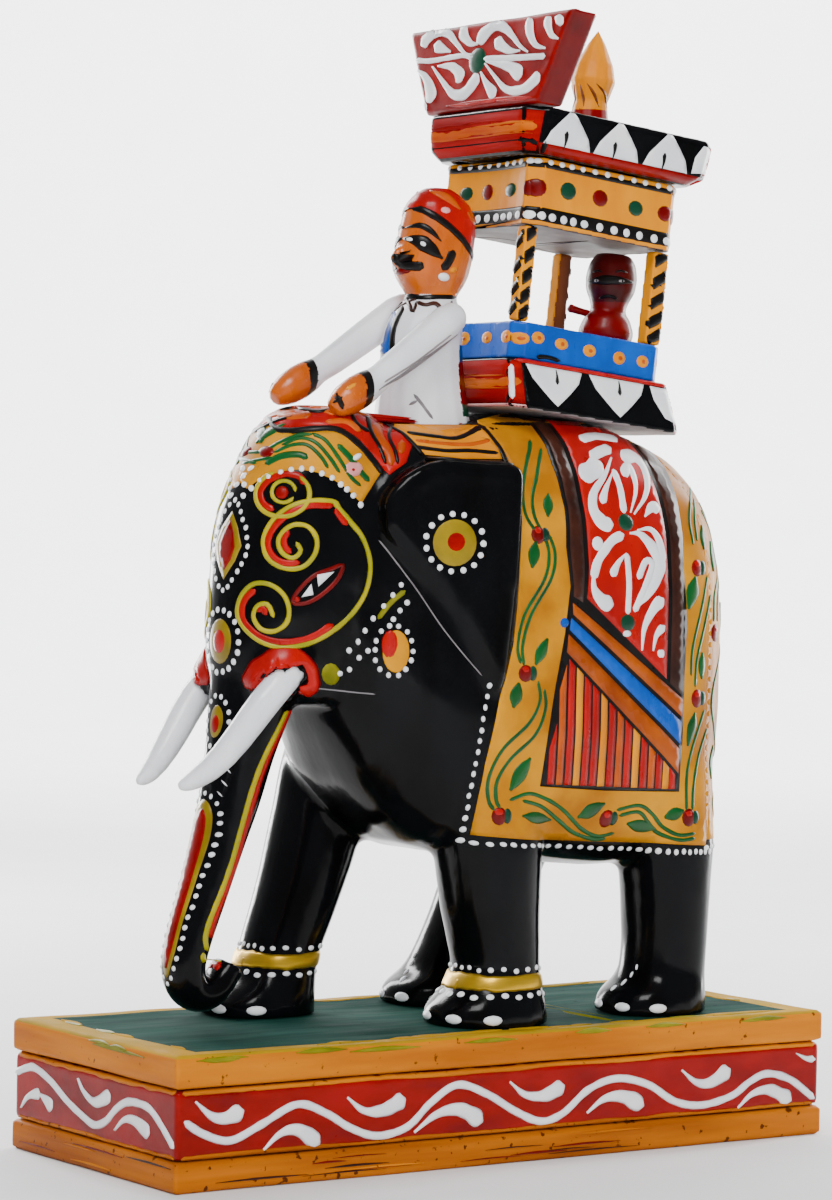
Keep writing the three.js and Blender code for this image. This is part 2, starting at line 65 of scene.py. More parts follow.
def enamel(name, colour, shade, rough=0.22, streak=(1, 1, 1), scale=260, gloss=0.5, worn=0.0, coat=0.0):
    """Brushed enamel: two tones mixed along the brush marks, ridges in the gloss, and pits where it is worn."""
    mat, nodes, links, shader = material(name)
    place = nodes.new("ShaderNodeTexCoord")
    stretch = nodes.new("ShaderNodeMapping")
    stretch.inputs["Scale"].default_value = streak
    links.new(place.outputs["Object"], stretch.inputs["Vector"])

    broad = nodes.new("ShaderNodeTexNoise")
    broad.inputs["Scale"].default_value = scale * 0.35
    broad.inputs["Detail"].default_value = 4
    links.new(stretch.outputs["Vector"], broad.inputs["Vector"])
    spread = nodes.new("ShaderNodeMapRange")
    spread.inputs["From Min"].default_value = 0.32
    spread.inputs["From Max"].default_value = 0.68
    links.new(broad.outputs["Fac"], spread.inputs["Value"])
    tone = nodes.new("ShaderNodeMix")
    tone.data_type = "RGBA"
    tone.inputs["A"].default_value = (*shade, 1)
    tone.inputs["B"].default_value = (*colour, 1)
    links.new(spread.outputs["Result"], tone.inputs["Factor"])
    last = tone.outputs["Result"]

    if worn:
        patches = nodes.new("ShaderNodeTexNoise")
        patches.inputs["Scale"].default_value = 420
        patches.inputs["Detail"].default_value = 6
        links.new(place.outputs["Object"], patches.inputs["Vector"])
        edge = nodes.new("ShaderNodeMapRange")
        edge.inputs["From Min"].default_value = 0.72 - worn * 0.1
        edge.inputs["From Max"].default_value = 0.75 - worn * 0.1
        links.new(patches.outputs["Fac"], edge.inputs["Value"])
        grime = nodes.new("ShaderNodeMix")
        grime.data_type = "RGBA"
        grime.inputs["B"].default_value = (*[c * 0.35 for c in shade], 1)
        links.new(edge.outputs["Result"], grime.inputs["Factor"])
        links.new(last, grime.inputs["A"])
        last = grime.outputs["Result"]
    links.new(last, shader.inputs["Base Color"])

    fine = nodes.new("ShaderNodeTexNoise")
    fine.inputs["Scale"].default_value = scale
    fine.inputs["Detail"].default_value = 5
    links.new(stretch.outputs["Vector"], fine.inputs["Vector"])
    sheen = nodes.new("ShaderNodeMapRange")
    sheen.inputs["To Min"].default_value = rough * 0.7
    sheen.inputs["To Max"].default_value = rough * 1.6
    links.new(fine.outputs["Fac"], sheen.inputs["Value"])
    links.new(sheen.outputs["Result"], shader.inputs["Roughness"])
    ridges = nodes.new("ShaderNodeBump")
    ridges.inputs["Strength"].default_value = 0.16
    ridges.inputs["Distance"].default_value = 0.0006
    links.new(fine.outputs["Fac"], ridges.inputs["Height"])
    links.new(ridges.outputs["Normal"], shader.inputs["Normal"])
    shader.inputs["Specular IOR Level"].default_value = gloss
    if coat:
        shader.inputs["Coat Weight"].default_value = coat
        shader.inputs["Coat Roughness"].default_value = 0.08
    return mat


def steel_material():
    """Dull zinc-plated steel for the nails and screws."""
    mat, nodes, links, shader = material("steel")
    grain = nodes.new("ShaderNodeTexNoise")
    grain.inputs["Scale"].default_value = 900
    ramp = nodes.new("ShaderNodeMapRange")
    ramp.inputs["To Min"].default_value = 0.3
    ramp.inputs["To Max"].default_value = 0.55
    links.new(grain.outputs["Fac"], ramp.inputs["Value"])
    links.new(ramp.outputs["Result"], shader.inputs["Roughness"])
    tint = nodes.new("ShaderNodeMix")
    tint.data_type = "RGBA"
    tint.inputs["A"].default_value = (0.32, 0.32, 0.33, 1)
    tint.inputs["B"].default_value = (0.5, 0.5, 0.51, 1)
    links.new(grain.outputs["Fac"], tint.inputs["Factor"])
    links.new(tint.outputs["Result"], shader.inputs["Base Color"])
    shader.inputs["Metallic"].default_value = 1.0
    return mat


def gilt_material():
    """Bright brass-coloured paint with a metal sheen."""
    mat, nodes, links, shader = material("gilt")
    grain = nodes.new("ShaderNodeTexNoise")
    grain.inputs["Scale"].default_value = 330
    grain.inputs["Detail"].default_value = 5
    tint_mix = nodes.new("ShaderNodeMix")
    tint_mix.data_type = "RGBA"
    tint_mix.inputs["A"].default_value = (0.34, 0.17, 0.004, 1)
    tint_mix.inputs["B"].default_value = (0.95, 0.60, 0.03, 1)
    links.new(grain.outputs["Fac"], tint_mix.inputs["Factor"])
    links.new(tint_mix.outputs["Result"], shader.inputs["Base Color"])
    sheen = nodes.new("ShaderNodeMapRange")
    sheen.inputs["To Min"].default_value = 0.2
    sheen.inputs["To Max"].default_value = 0.5
    links.new(grain.outputs["Fac"], sheen.inputs["Value"])
    links.new(sheen.outputs["Result"], shader.inputs["Roughness"])
    shader.inputs["Metallic"].default_value = 0.75
    return mat


PAINT = {
    "gilt": gilt_material(),
    "black": enamel("black", (0.0030, 0.0033, 0.0042), (0.0014, 0.0014, 0.0016), 0.13, (1, 1, 0.35), 300, 0.13),
    "line_black": enamel("line_black", (0.006, 0.0045, 0.004), (0.002, 0.0018, 0.0018), 0.28, gloss=0.25),
    "white": enamel("white", (0.84, 0.85, 0.86), (0.70, 0.72, 0.76), 0.3),
    "cloth_white": enamel("cloth_white", (0.80, 0.81, 0.84), (0.68, 0.69, 0.73), 0.32, (1, 1, 0.5)),
    "grey": enamel("grey", (0.20, 0.19, 0.20), (0.12, 0.11, 0.12), 0.35, (1, 1, 3)),
    "red": enamel("red", (0.44, 0.0, 0.0), (0.26, 0.0, 0.0), 0.26, (1, 1, 0.5), gloss=0.25),
    "deep_red": enamel("deep_red", (0.27, 0.0, 0.0), (0.15, 0.0, 0.0), 0.3, (1, 0.6, 1.4), gloss=0.18),
    "dark_red": enamel("dark_red", (0.17, 0.0, 0.001), (0.08, 0.0, 0.0), 0.28, gloss=0.25),
    "maroon": enamel("maroon", (0.06, 0.001, 0.001), (0.022, 0.001, 0.001), 0.3, gloss=0.25),
    "dry_red": enamel("dry_red", (0.34, 0.0, 0.0), (0.17, 0.0, 0.0), 0.6, (0.25, 1, 2.5), gloss=0.05),
    "dry_orange": enamel("dry_orange", (0.56, 0.12, 0.0), (0.34, 0.03, 0.0), 0.6, (0.25, 1, 2.5), gloss=0.05),
    "orange": enamel("orange", (0.52, 0.085, 0.0), (0.33, 0.04, 0.0), 0.26, gloss=0.25),
    "band_orange": enamel("band_orange", (0.38, 0.07, 0.0), (0.22, 0.032, 0.0), 0.28, gloss=0.25),
    "skin": enamel("skin", (0.60, 0.13, 0.0), (0.38, 0.06, 0.0), 0.24, (1, 1, 0.6), 200, gloss=0.4),
    "yellow": enamel("yellow", (0.74, 0.27, 0.0), (0.60, 0.18, 0.0), 0.3, (1, 1, 0.5), gloss=0.1),
    "ochre": enamel("ochre", (0.60, 0.19, 0.0), (0.38, 0.095, 0.0), 0.42, (0.25, 0.25, 2.2), 200, 0.12, 0.6),
    "low_ochre": enamel("low_ochre", (0.47, 0.13, 0.0), (0.22, 0.045, 0.0), 0.42, (0.2, 0.2, 3), 200, 0.12, 0.9),
    "gold": enamel("gold", (0.64, 0.27, 0.0), (0.34, 0.115, 0.0), 0.3, (1, 1, 1), 150, 0.1),
    "old_gold": enamel("old_gold", (0.30, 0.20, 0.002), (0.14, 0.095, 0.001), 0.28, gloss=0.3),
    "edge_gold": enamel("edge_gold", (0.46, 0.24, 0.002), (0.26, 0.17, 0.004), 0.6, (1, 1, 1), 150, 0.04, 0.4),
    "olive": enamel("olive", (0.24, 0.21, 0.006), (0.10, 0.11, 0.004), 0.4, gloss=0.15),
    "lime": enamel("lime", (0.44, 0.35, 0.0), (0.22, 0.22, 0.0), 0.28, gloss=0.25),
    "green": enamel("green", (0.004, 0.088, 0.014), (0.002, 0.045, 0.008), 0.28, gloss=0.3),
    "dark_green": enamel("dark_green", (0.002, 0.05, 0.022), (0.001, 0.02, 0.010), 0.28, gloss=0.3),
    "teal": enamel("teal", (0.012, 0.056, 0.042), (0.005, 0.028, 0.022), 0.7, (2.2, 0.3, 1), 150, 0.02, 0.3),
    "blue": enamel("blue", (0.0, 0.088, 0.50), (0.0, 0.05, 0.31), 0.26, (1, 1, 0.6), gloss=0.2),
    "navy": enamel("navy", (0.002, 0.05, 0.20), (0.001, 0.025, 0.11), 0.28),
    "brown": enamel("brown", (0.045, 0.011, 0.005), (0.018, 0.005, 0.003), 0.3, gloss=0.25),
    "post_brown": enamel("post_brown", (0.28, 0.06, 0.002), (0.09, 0.016, 0.001), 0.34, (1, 1, 0.3)),
    "ivory": enamel("ivory", (0.80, 0.81, 0.84), (0.66, 0.68, 0.72), 0.24, (1, 1, 0.3)),
    "dusk": enamel("dusk", (0.30, 0.27, 0.28), (0.14, 0.12, 0.12), 0.45, scale=120),
    "ceiling": enamel("ceiling", (0.13, 0.09, 0.065), (0.07, 0.045, 0.03), 0.5, scale=120),
    "pink": enamel("pink", (0.74, 0.36, 0.34), (0.60, 0.16, 0.17), 0.3),
    "bare_wood": enamel("bare_wood", (0.45, 0.27, 0.13), (0.33, 0.18, 0.08), 0.6, (1, 1, 0.12), 300),
    "steel": steel_material(),
}


# ---------------------------------------------------------------- carved pieces


def mesh_arrays(mesh):
    """Vertex positions in millimetres and the two ends of every edge."""
    points = np.empty(len(mesh.vertices) * 3, np.float32)
    mesh.vertices.foreach_get("co", points)
    edges = np.empty(len(mesh.edges) * 2, np.int32)
    mesh.edges.foreach_get("vertices", edges)
    return points.reshape(-1, 3).astype(float) / MM, edges.reshape(-1, 2)


def relax(values, edges, count, weight, rounds):
    """Moves each row halfway to its neighbours' mean, rounds times."""
    a, b = edges[:, 0], edges[:, 1]
    for _ in range(rounds):
        total = np.empty_like(values)
        for k in range(values.shape[1]):
            column = values[:, k]
            total[:, k] = np.bincount(a, column[b], len(values)) + np.bincount(b, column[a], len(values))
        values = values + (0.5 * weight * (total / count - values))
    return values


def vertex_normals(mesh):
    normals = np.empty(len(mesh.vertices) * 3, np.float32)
    mesh.vertices.foreach_get("normal", normals)
    return normals.reshape(-1, 3).astype(float)


def crisp_points(mesh, angle):
    """Points along the outward edges that turn by more than the angle, in millimetres."""
    bm = bmesh.new()
    bm.from_mesh(mesh)
    bmesh.ops.remove_doubles(bm, verts=bm.verts, dist=1e-6)
    found = []
    for e in bm.edges:
        if len(e.link_faces) == 2 and e.is_convex and e.calc_face_angle() > math.radians(angle):
            a, b = (v.co / MM for v in e.verts)
            steps = max(1, int((b - a).length / 0.6))
            found += [a.lerp(b, i / steps) for i in range(steps + 1)]
    bm.free()
    return found


def carve(node, name, paint, voxel, spread, crisp=None, hold=0.1, wobble=0.12, wave=14):
    """The node's shape with its facets worn round, as knife and sandpaper leave wood, riding on the root."""
    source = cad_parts[node]
    piece = bpy.data.objects.new(name, source.data.copy())
    bpy.context.scene.collection.objects.link(piece)
    bm = bmesh.new()
    bm.from_mesh(piece.data)
    bmesh.ops.remove_doubles(bm, verts=bm.verts, dist=1e-6)
    bm.to_mesh(piece.data)
    bm.free()
    remesh = piece.modifiers.new("grain", "REMESH")
    remesh.mode = "VOXEL"
    remesh.voxel_size = voxel * MM
    graph = bpy.context.evaluated_depsgraph_get()
    mesh = bpy.data.meshes.new_from_object(piece.evaluated_get(graph))
    piece.modifiers.clear()
    piece.data = mesh

    points, edges = mesh_arrays(mesh)
    count = np.bincount(edges.ravel(), minlength=len(points)).astype(float)[:, None]
    weight = np.ones((len(points), 1))
    if crisp:
        ridge = crisp_points(source.data, crisp)
        if ridge:
            tree = kdtree.KDTree(len(ridge))
            for i, p in enumerate(ridge):
                tree.insert(p, i)
            tree.balance()
            gap = np.array([tree.find(p)[2] for p in points])[:, None]
            weight = np.clip((gap - 0.4) / 2.4, hold, 1)
    rounds = max(2, int(4 * (spread / voxel) ** 2))
    smooth = relax(points, edges, count, weight, rounds)
    mesh.vertices.foreach_set("co", (smooth * MM).astype(np.float32).ravel())
    mesh.update()
    normals = vertex_normals(mesh)
    lost = ((points - smooth) * normals).sum(1, keepdims=True)
    lost = relax(lost, edges, count, np.ones_like(lost), rounds)
    smooth = smooth + normals * lost
    if wobble:
        seed = Vector((len(name) * 3.7, 1.3, 5.1))
        lift = np.array([noise.noise(Vector(p) / wave + seed) for p in smooth])[:, None]
        smooth = smooth + normals * lift * wobble
    mesh.vertices.foreach_set("co", (smooth * MM).astype(np.float32).ravel())
    mesh.update()
    mesh.shade_smooth()
    mesh.materials.clear()
    mesh.materials.append(PAINT[paint])
    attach(piece, "root")
    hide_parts(node)
    return piece


elephant = carve("elephant_body", "elephant", "black", 0.75, 2.3, 50, 0.06, 0.25, 18)
tusks = [
    carve("tusk_left", "tusk_near", "ivory", 0.5, 1.0),
    carve("tusk_right", "tusk_far", "ivory", 0.5, 1.0),
]
mahout = carve("mahout_figure", "mahout", "cloth_white", 0.45, 0.9, 60, 0.3)
sleeve_near = carve("mahout_arm_left", "mahout_arm_near", "cloth_white", 0.45, 1.0)
sleeve_far = carve("mahout_arm_right", "mahout_arm_far", "cloth_white", 0.45, 1.0)
passenger = carve("passenger_figure", "passenger", "dark_red", 0.45, 1.0)
passenger_arm = carve("passenger_arm", "passenger_stick", "dark_red", 0.4, 0.5)
plinth_base = carve("plinth_base", "plinth_foot", "low_ochre", 0.75, 0.3, wobble=0.18, wave=22)
plinth_block = carve("plinth_block", "plinth_block_painted", "deep_red", 0.75, 0.3, wobble=0.12, wave=22)
plinth_top = carve("plinth_top", "plinth_deck", "ochre", 0.75, 0.3, wobble=0.3, wave=22)
floor_board = carve("howdah_floor", "howdah_floor_board", "black", 0.6, 0.35, wobble=0.15)
rail = carve("howdah_rail", "howdah_rail_board", "blue", 0.5, 0.35)
frieze = carve("howdah_frieze", "howdah_frieze_board", "yellow", 0.5, 0.35)
roof = carve("howdah_roof", "howdah_roof_board", "black", 0.6, 0.35, wobble=0.15)
visor = carve("howdah_visor", "howdah_visor_board", "deep_red", 0.6, 0.35, wobble=0.2)
finial = carve("roof_finial", "roof_bud", "yellow", 0.4, 0.6)
posts = {}
for end in ("front", "rear"):
    for hand, word in (("left", "near"), ("right", "far")):
        node = f"howdah_post_{end}_{hand}"
        posts[end, word] = carve(node, f"howdah_post_{end}_{word}", "yellow", 0.4, 0.3)

for node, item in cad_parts.items():
    if "nail" in node or "screw" in node:
        item.data.materials.clear()
        item.data.materials.append(PAINT["steel"])
    if "peg" in node:
        item.data.materials.clear()
        item.data.materials.append(PAINT["bare_wood"])

# ---------------------------------------------------------------- where paint is laid


REACH = 150
HOWDAH_TILT = Matrix.Rotation(math.radians(-6.1), 4, "X")
HOWDAH_PLACE = Matrix.Translation((0, 30.9, 201)) @ HOWDAH_TILT


def flank(side):
    """Looks at one side: across is y, up is z."""
    return lambda u, v: (Vector((side * REACH, u, v)), Vector((-side, 0, 0)))


def ahead(side):
    """Looks at the front: across is x, up is z."""
    return lambda u, v: (Vector((side * u, -REACH, v)), Vector((0, 1, 0)))


def behind(side):
    """Looks at the back: across is x, up is z."""
    return lambda u, v: (Vector((side * u, REACH, v)), Vector((0, -1, 0)))


def above(side):
    """Looks down: across is y, up the sheet is x."""
    return lambda u, v: (Vector((side * v, u, 2 * REACH)), Vector((0, 0, -1)))


def slant(side, angle=50):
    """Looks from between the front and one side."""
    a = math.radians(angle)
    out = Vector((side * math.sin(a), -math.cos(a), 0))
    across = Vector((side * math.cos(a), math.sin(a), 0))
    return lambda u, v: (across * u + Vector((0, 0, v)) + out * REACH, -out)


def round_about(x, y, radius, reach, side=1):
    """Looks at an upright axis from all round: across is the arc from the front, up is z."""

    def look(u, v):
        a = u / radius
        out = Vector((side * math.sin(a), -math.cos(a), 0))
        return Vector((x, y, v)) + out * reach, -out

    return look


def on_howdah(look):
    """The same way of looking, in the howdah's own tilted frame."""

    def tilted(u, v):
        origin, direction = look(u, v)
        return HOWDAH_PLACE @ origin, HOWDAH_TILT.to_3x3() @ direction

    return tilted


class Sheet:
    """A carved surface seen one way, on which paint is laid at (u, v)."""

    def __init__(self, piece, look, region):
        self.tree = TREES.setdefault(piece.name, None) or self.grow(piece)
        self.look = look
        self.region = region

    def grow(self, piece):
        TREES[piece.name] = BVHTree.FromObject(piece, bpy.context.evaluated_depsgraph_get())
        return TREES[piece.name]

    def land(self, u, v):
        """The point of the surface under (u, v) and its outward normal, in millimetres."""
        origin, direction = self.look(u, v)
        point, normal, _, _ = self.tree.ray_cast(origin * MM, direction)
        if point is None:
            start = getattr(self, "last", origin + direction * REACH)
            point, normal, _, _ = self.tree.find_nearest(start * MM)
        point = point / MM
        self.last = point
        return point, normal


TREES = {}
LAID = {}


def lay(sheet, colour, points, faces):
    """Keeps a closed skin of paint, to be joined with the rest of its region and colour."""
    kept_points, kept_faces = LAID.setdefault((sheet.region, colour), ([], []))
    start = len(kept_points)
    kept_points += points
    kept_faces += [[start + i for i in face] for face in faces]


def flow(points, step, closed=False):
    """A smooth line through the points, as evenly spaced (u, v)."""
    p = [Vector(q) for q in points]
    if closed:
        p = [p[-1], *p, p[0], p[1]]
    else:
        p = [p[0] * 2 - p[1], *p, p[-1] * 2 - p[-2]]
    fine = []
    for a, b, c, d in zip(p, p[1:], p[2:], p[3:]):
        for i in range(12):
            t = i / 12
            fine.append(0.5 * (2 * b + (c - a) * t + (2 * a - 5 * b + 4 * c - d) * t**2 + (3 * b - a - 3 * c + d) * t**3))
    fine.append(p[-2])
    return spaced(fine, step)


def spaced(line, step):
    """Evenly spaced points along straight pieces."""
    run = [0.0]
    for a, b in zip(line, line[1:]):
        run.append(run[-1] + (b - a).length)
    count = max(2, round(run[-1] / step) + 1)
    at = np.linspace(0, run[-1], count)
    u = np.interp(at, run, [q.x for q in line])
    v = np.interp(at, run, [q.y for q in line])
    return [Vector(q) for q in zip(u, v)]


def line_width(t, length, width, form):
    """The stroke's width at share t of its length."""
    if form == "leaf":
        return width * max(0.12, math.sin(math.pi * min(max(t, 0.02), 0.98))) ** 0.8
    if form == "comma":
        body = width * (0.12 + 0.88 * t**1.1)
        left = (1 - t) * length / (width * 0.5)
        return body * math.sqrt(max(0.03, 1 - (1 - min(1, left)) ** 2))
    if form == "square":
        return width
    end = min(t, 1 - t) * length / (width * 0.5)
    return width * math.sqrt(max(0.06, 1 - (1 - min(1, end)) ** 2))


SECTION = ((-1.0, -0.08), (-0.6, 0.8), (0.0, 1.0), (0.6, 0.8), (1.0, -0.08))
SUNK = 0.3
FULL = 1.28  # the sunk edges hide part of a stroke, so it is laid this much wider


def stroke(sheet, colour, points, width, form="line", layer=1, closed=False, body=0.14, step=0.75, uneven=0.06):
    """One pull of the brush along the points: domed, sunk at its edges, with a slightly uneven width."""
    line = flow(points, step, closed)
    length = sum((b - a).length for a, b in zip(line, line[1:]))
    lift = 0.1 + 0.07 * layer
    waver = rng.uniform(0, 90)
    skin, faces = [], []
    for i, p in enumerate(line):
        ahead_of = line[min(i + 1, len(line) - 1)] - line[max(i - 1, 0)]
        if closed and i in (0, len(line) - 1):
            ahead_of = line[1] - line[-2]
        across = Vector((-ahead_of.y, ahead_of.x)).normalized()
        t = i / (len(line) - 1)
        wide = width if closed else line_width(t, length, width, form)
        wide *= FULL * (1 + uneven * 2.5 * noise.noise(Vector((waver + i * step * 0.35, 0, 0))))
        for share, rise in SECTION:
            q = p + across * (wide * 0.5 * share)
            point, normal = sheet.land(q.x, q.y)
            height = (lift + body) * rise if rise > 0 else rise
            skin.append(point + normal * height)
            if share == 0:
                middle = point - normal * SUNK
        skin.append(middle)
    ring = len(SECTION) + 1
    for i in range(len(line) - 1):
        a, b = i * ring, (i + 1) * ring
        for k in range(ring):
            n = (k + 1) % ring
            faces.append((a + k, a + n, b + n, b + k))
    faces.append(tuple(range(ring)))
    faces.append(tuple((len(line) - 1) * ring + k for k in reversed(range(ring))))
    lay(sheet, colour, skin, faces)


def dot(sheet, colour, u, v, wide, tall=None, turn=0.0, layer=1, body=0.24, sides=12):
    """A blob of paint with a round top; wide and tall are half its size."""
    tall = tall or wide
    wide, tall = wide * rng.uniform(0.92, 1.08), tall * rng.uniform(0.92, 1.08)
    a = math.radians(turn)
    lift = 0.1 + 0.07 * layer
    middle, normal = sheet.land(u, v)
    skin = [middle + normal * (lift + body), middle - normal * SUNK]
    faces = []
    for share, rise in ((0.55, 0.8), (0.88, 0.4), (1.0, -0.08)):
        for i in range(sides):
            b = 2 * math.pi * i / sides
            x, y = wide * share * math.cos(b), tall * share * math.sin(b)
            point, normal = sheet.land(u + x * math.cos(a) - y * math.sin(a), v + x * math.sin(a) + y * math.cos(a))
            skin.append(point + normal * ((lift + body) * rise if rise > 0 else rise))
    for i in range(sides):
        n = (i + 1) % sides
        faces.append((0, 2 + i, 2 + n))
        for ring in (0, 1):
            low, high = 2 + ring * sides, 2 + (ring + 1) * sides
            faces.append((low + i, high + i, high + n, low + n))
        faces.append((1, 2 + 2 * sides + n, 2 + 2 * sides + i))
    lay(sheet, colour, skin, faces)


def inside(p, outline):
    """True if p lies in the closed outline."""
    hit = False
    for a, b in zip(outline, outline[1:] + outline[:1]):
        if (a.y > p.y) != (b.y > p.y) and p.x < (b.x - a.x) * (p.y - a.y) / (b.y - a.y) + a.x:
            hit = not hit
    return hit


def field(sheet, colour, outline, layer=0, step=1.5, curved=False):
    """A flat coat of paint over the outline."""
    corners = [Vector(q) for q in outline]
    if curved:
        edge = flow(outline, step, True)[:-1]
    else:
        edge = []
        for a, b in zip(corners, corners[1:] + corners[:1]):
            edge += spaced([a, b], step)[:-1]
    u0, u1 = min(p.x for p in edge), max(p.x for p in edge)
    v0, v1 = min(p.y for p in edge), max(p.y for p in edge)
    grid = []
    for i in range(1, int((u1 - u0) / step) + 1):
        for k in range(1, int((v1 - v0) / step) + 1):
            p = Vector((u0 + (i + 0.5 * (k % 2)) * step, v0 + k * step))
            if inside(p, edge) and min((p - q).length_squared for q in edge) > (0.55 * step) ** 2:
                grid.append(p)
    flat, _, tris, _, _, _ = delaunay_2d_cdt(edge + grid, [], [list(range(len(edge)))], 1, 1e-5)
    landed = [sheet.land(p.x, p.y) for p in flat]
    lift = 0.1 + 0.07 * layer
    count = len(flat)
    skin = [point + normal * lift for point, normal in landed] + [point - normal * SUNK for point, normal in landed]
    faces = [tuple(t) for t in tris] + [tuple(count + i for i in reversed(t)) for t in tris]
    used = {}
    for t in tris:
        for a, b in zip(t, [*t[1:], t[0]]):
            used[a, b] = True
    for a, b in used:
        if (b, a) not in used:
            faces.append((b, a, count + a, count + b))
    lay(sheet, colour, skin, faces)


def dots(sheet, colour, line, gap, wide, tall=None, curved=True, layer=1, closed=False, **more):
    """A row of blobs along a line, a little uneven as the hand leaves them."""
    if curved:
        row = flow(line, gap, closed)
    else:
        row = spaced([Vector(q) for q in line], gap)
    for p in row[:-1] if closed else row:
        dot(sheet, colour, p.x + rng.uniform(-0.15, 0.15), p.y + rng.uniform(-0.15, 0.15), wide, tall, layer=layer, **more)


def oval(u, v, wide, tall, start=0, end=360, count=16):
    """Points of an ellipse's arc, in degrees anticlockwise."""
    turns = [math.radians(start + (end - start) * i / count) for i in range(count + (end - start < 360))]
    return [(u + wide * math.cos(a), v + tall * math.sin(a)) for a in turns]


def tint(piece, rules):
    """Gives each face the first paint whose rule holds for its centre and normal, in millimetres."""
    mesh = piece.data
    centres = np.empty(len(mesh.polygons) * 3, np.float32)
    mesh.polygons.foreach_get("center", centres)
    normals = np.empty(len(mesh.polygons) * 3, np.float32)
    mesh.polygons.foreach_get("normal", normals)
    x, y, z = (centres.reshape(-1, 3) / MM).T
    nx, ny, nz = normals.reshape(-1, 3).T
    index = np.zeros(len(mesh.polygons), np.int32)
    free = np.ones(len(index), bool)
    for colour, rule in rules:
        here = rule(x, y, z, nx, ny, nz) & free
        mesh.materials.append(PAINT[colour])
        index[here] = len(mesh.materials) - 1
        free &= ~here
    mesh.polygons.foreach_set("material_index", index)


# ---------------------------------------------------------------- the caparison

BORDER = [
    (2, 189), (3.5, 170), (1.5, 160), (1, 150), (0.5, 140), (-0.5, 130), (-3.5, 120), (-5.5, 110), (-7.5, 100),
    (-8.2, 90), (-8.8, 82.2), (10, 80.5), (30, 79.3), (50, 78.3), (64, 77.5), (66, 90), (66, 120), (66, 150),
    (64, 170), (58, 180), (55, 189),
]
PANEL = [
    (15.5, 189), (15.5, 176), (16.5, 165), (16, 155), (17, 145), (15.5, 133), (13, 120), (11, 108), (9.7, 97),
    (9.5, 94.3), (30, 92.7), (54.5, 91.8), (55, 122), (55.5, 135), (54.5, 150), (55, 173), (55, 189),
]
BANDS = [
    ("brown", [(16.8, 189), (17, 176), (17.6, 165), (17.2, 155), (18, 145), (18, 142.5), (21, 141), (21.6, 150), (20.6, 182), (20.6, 189)]),
    ("red", [(21.8, 189), (22, 182), (23, 150), (22.3, 142), (48.8, 121.2), (48.8, 150), (48.3, 165), (46.3, 183), (46, 189)]),
    ("brown", [(48, 189), (47.8, 183), (49.8, 165), (50.2, 150), (50, 120), (54.2, 117), (54.2, 173), (54, 189)]),
    ("band_orange", [(17.8, 140.9), (54.6, 115.8), (54.4, 111.2), (18, 137.9)]),
    ("blue", [(17.4, 137), (54.2, 110), (54, 104.2), (16.9, 134)]),
    ("band_orange", [(16.6, 132.9), (53.8, 103), (54, 96.6), (16.2, 128.3)]),
]
STRIPES = [
    ("red", 12.6, 107), ("orange", 15.3, 122), ("red", 18, 125.7), ("yellow", 20.6, 123.5), ("red", 23.2, 121.3),
    ("red", 25.9, 119), ("yellow", 28.6, 116.8), ("red", 31.3, 114.5), ("orange", 34, 112.2), ("red", 36.7, 109.9),
    ("yellow", 39.4, 107.7), ("red", 42.1, 105.4), ("orange", 44.7, 103.2), ("red", 47.2, 101.1),
    ("yellow", 49.6, 99.1), ("red", 51.9, 97.2),
]
VINES = [
    [(12, 182), (8, 176), (5, 170), (4.5, 163), (7.5, 158)],
    [(14, 180), (10.5, 174), (7.5, 168), (7, 163), (8.5, 159)],
    [(11, 158), (12.5, 153), (11, 147), (5, 138), (2.5, 130), (3, 125)],
    [(9.5, 158), (10.6, 153), (9, 147), (3, 138), (1, 130), (2, 125.5)],
    [(7.5, 121), (8.2, 116), (5, 110.5), (-2.5, 104), (-6, 97), (-5.5, 91), (-4, 88.5)],
    [(9.5, 119), (10, 114), (7, 107.5), (0, 101.5), (-3.6, 96), (-3.6, 91), (-2.5, 89)],
    [(0, 91), (6, 92.5), (12, 91), (18, 88), (25, 83), (31, 80.7), (36, 81.4)],
    [(4, 90.8), (11, 89), (17, 85.5), (23, 82), (30, 79.9), (34, 80)],
    [(35, 87.5), (42, 88.5), (47, 86), (51, 82.5), (55, 80.5), (60, 80.8)],
    [(36, 86), (42, 86.8), (46, 84), (50, 81), (55, 79.2), (60, 79.5)],
    [(64, 171), (60, 166.5), (58.3, 162), (58.6, 156)],
    [(63, 168), (60.8, 163), (60.3, 157)],
    [(64, 148), (60.5, 138), (57.8, 129), (57.4, 122)],
    [(65, 143), (62, 134), (59.5, 126), (59, 119)],
    [(63, 113), (59, 104), (57, 96), (57, 87)],
    [(64.5, 108), (61, 100), (59.3, 93), (59, 87)],
]
LEAVES = [
    (11.7, 165.5, 2.6, 6, 12), (6, 153, 3, 7, 12), (8.3, 128.5, 3, 7.5, 28), (0.8, 117.5, 3.4, 6.5, 14),
    (3, 97.5, 3.5, 10, 35), (9.5, 86.2, 2.6, 11, 98), (27, 87.6, 3.2, 8.5, 66), (44, 83, 2.9, 10, 100),
    (53.5, 86, 3, 5.5, 70), (63.3, 158, 2.4, 6.5, 5), (57.5, 143.5, 4, 9, 20), (61.5, 124.5, 2.5, 7, 0), (58, 108, 3, 9, 15),
]
FLOWERS = [(8.3, 158), (4.3, 123), (-2, 87), (33, 85.3), (60.5, 150), (60.5, 116), (58.5, 85)]
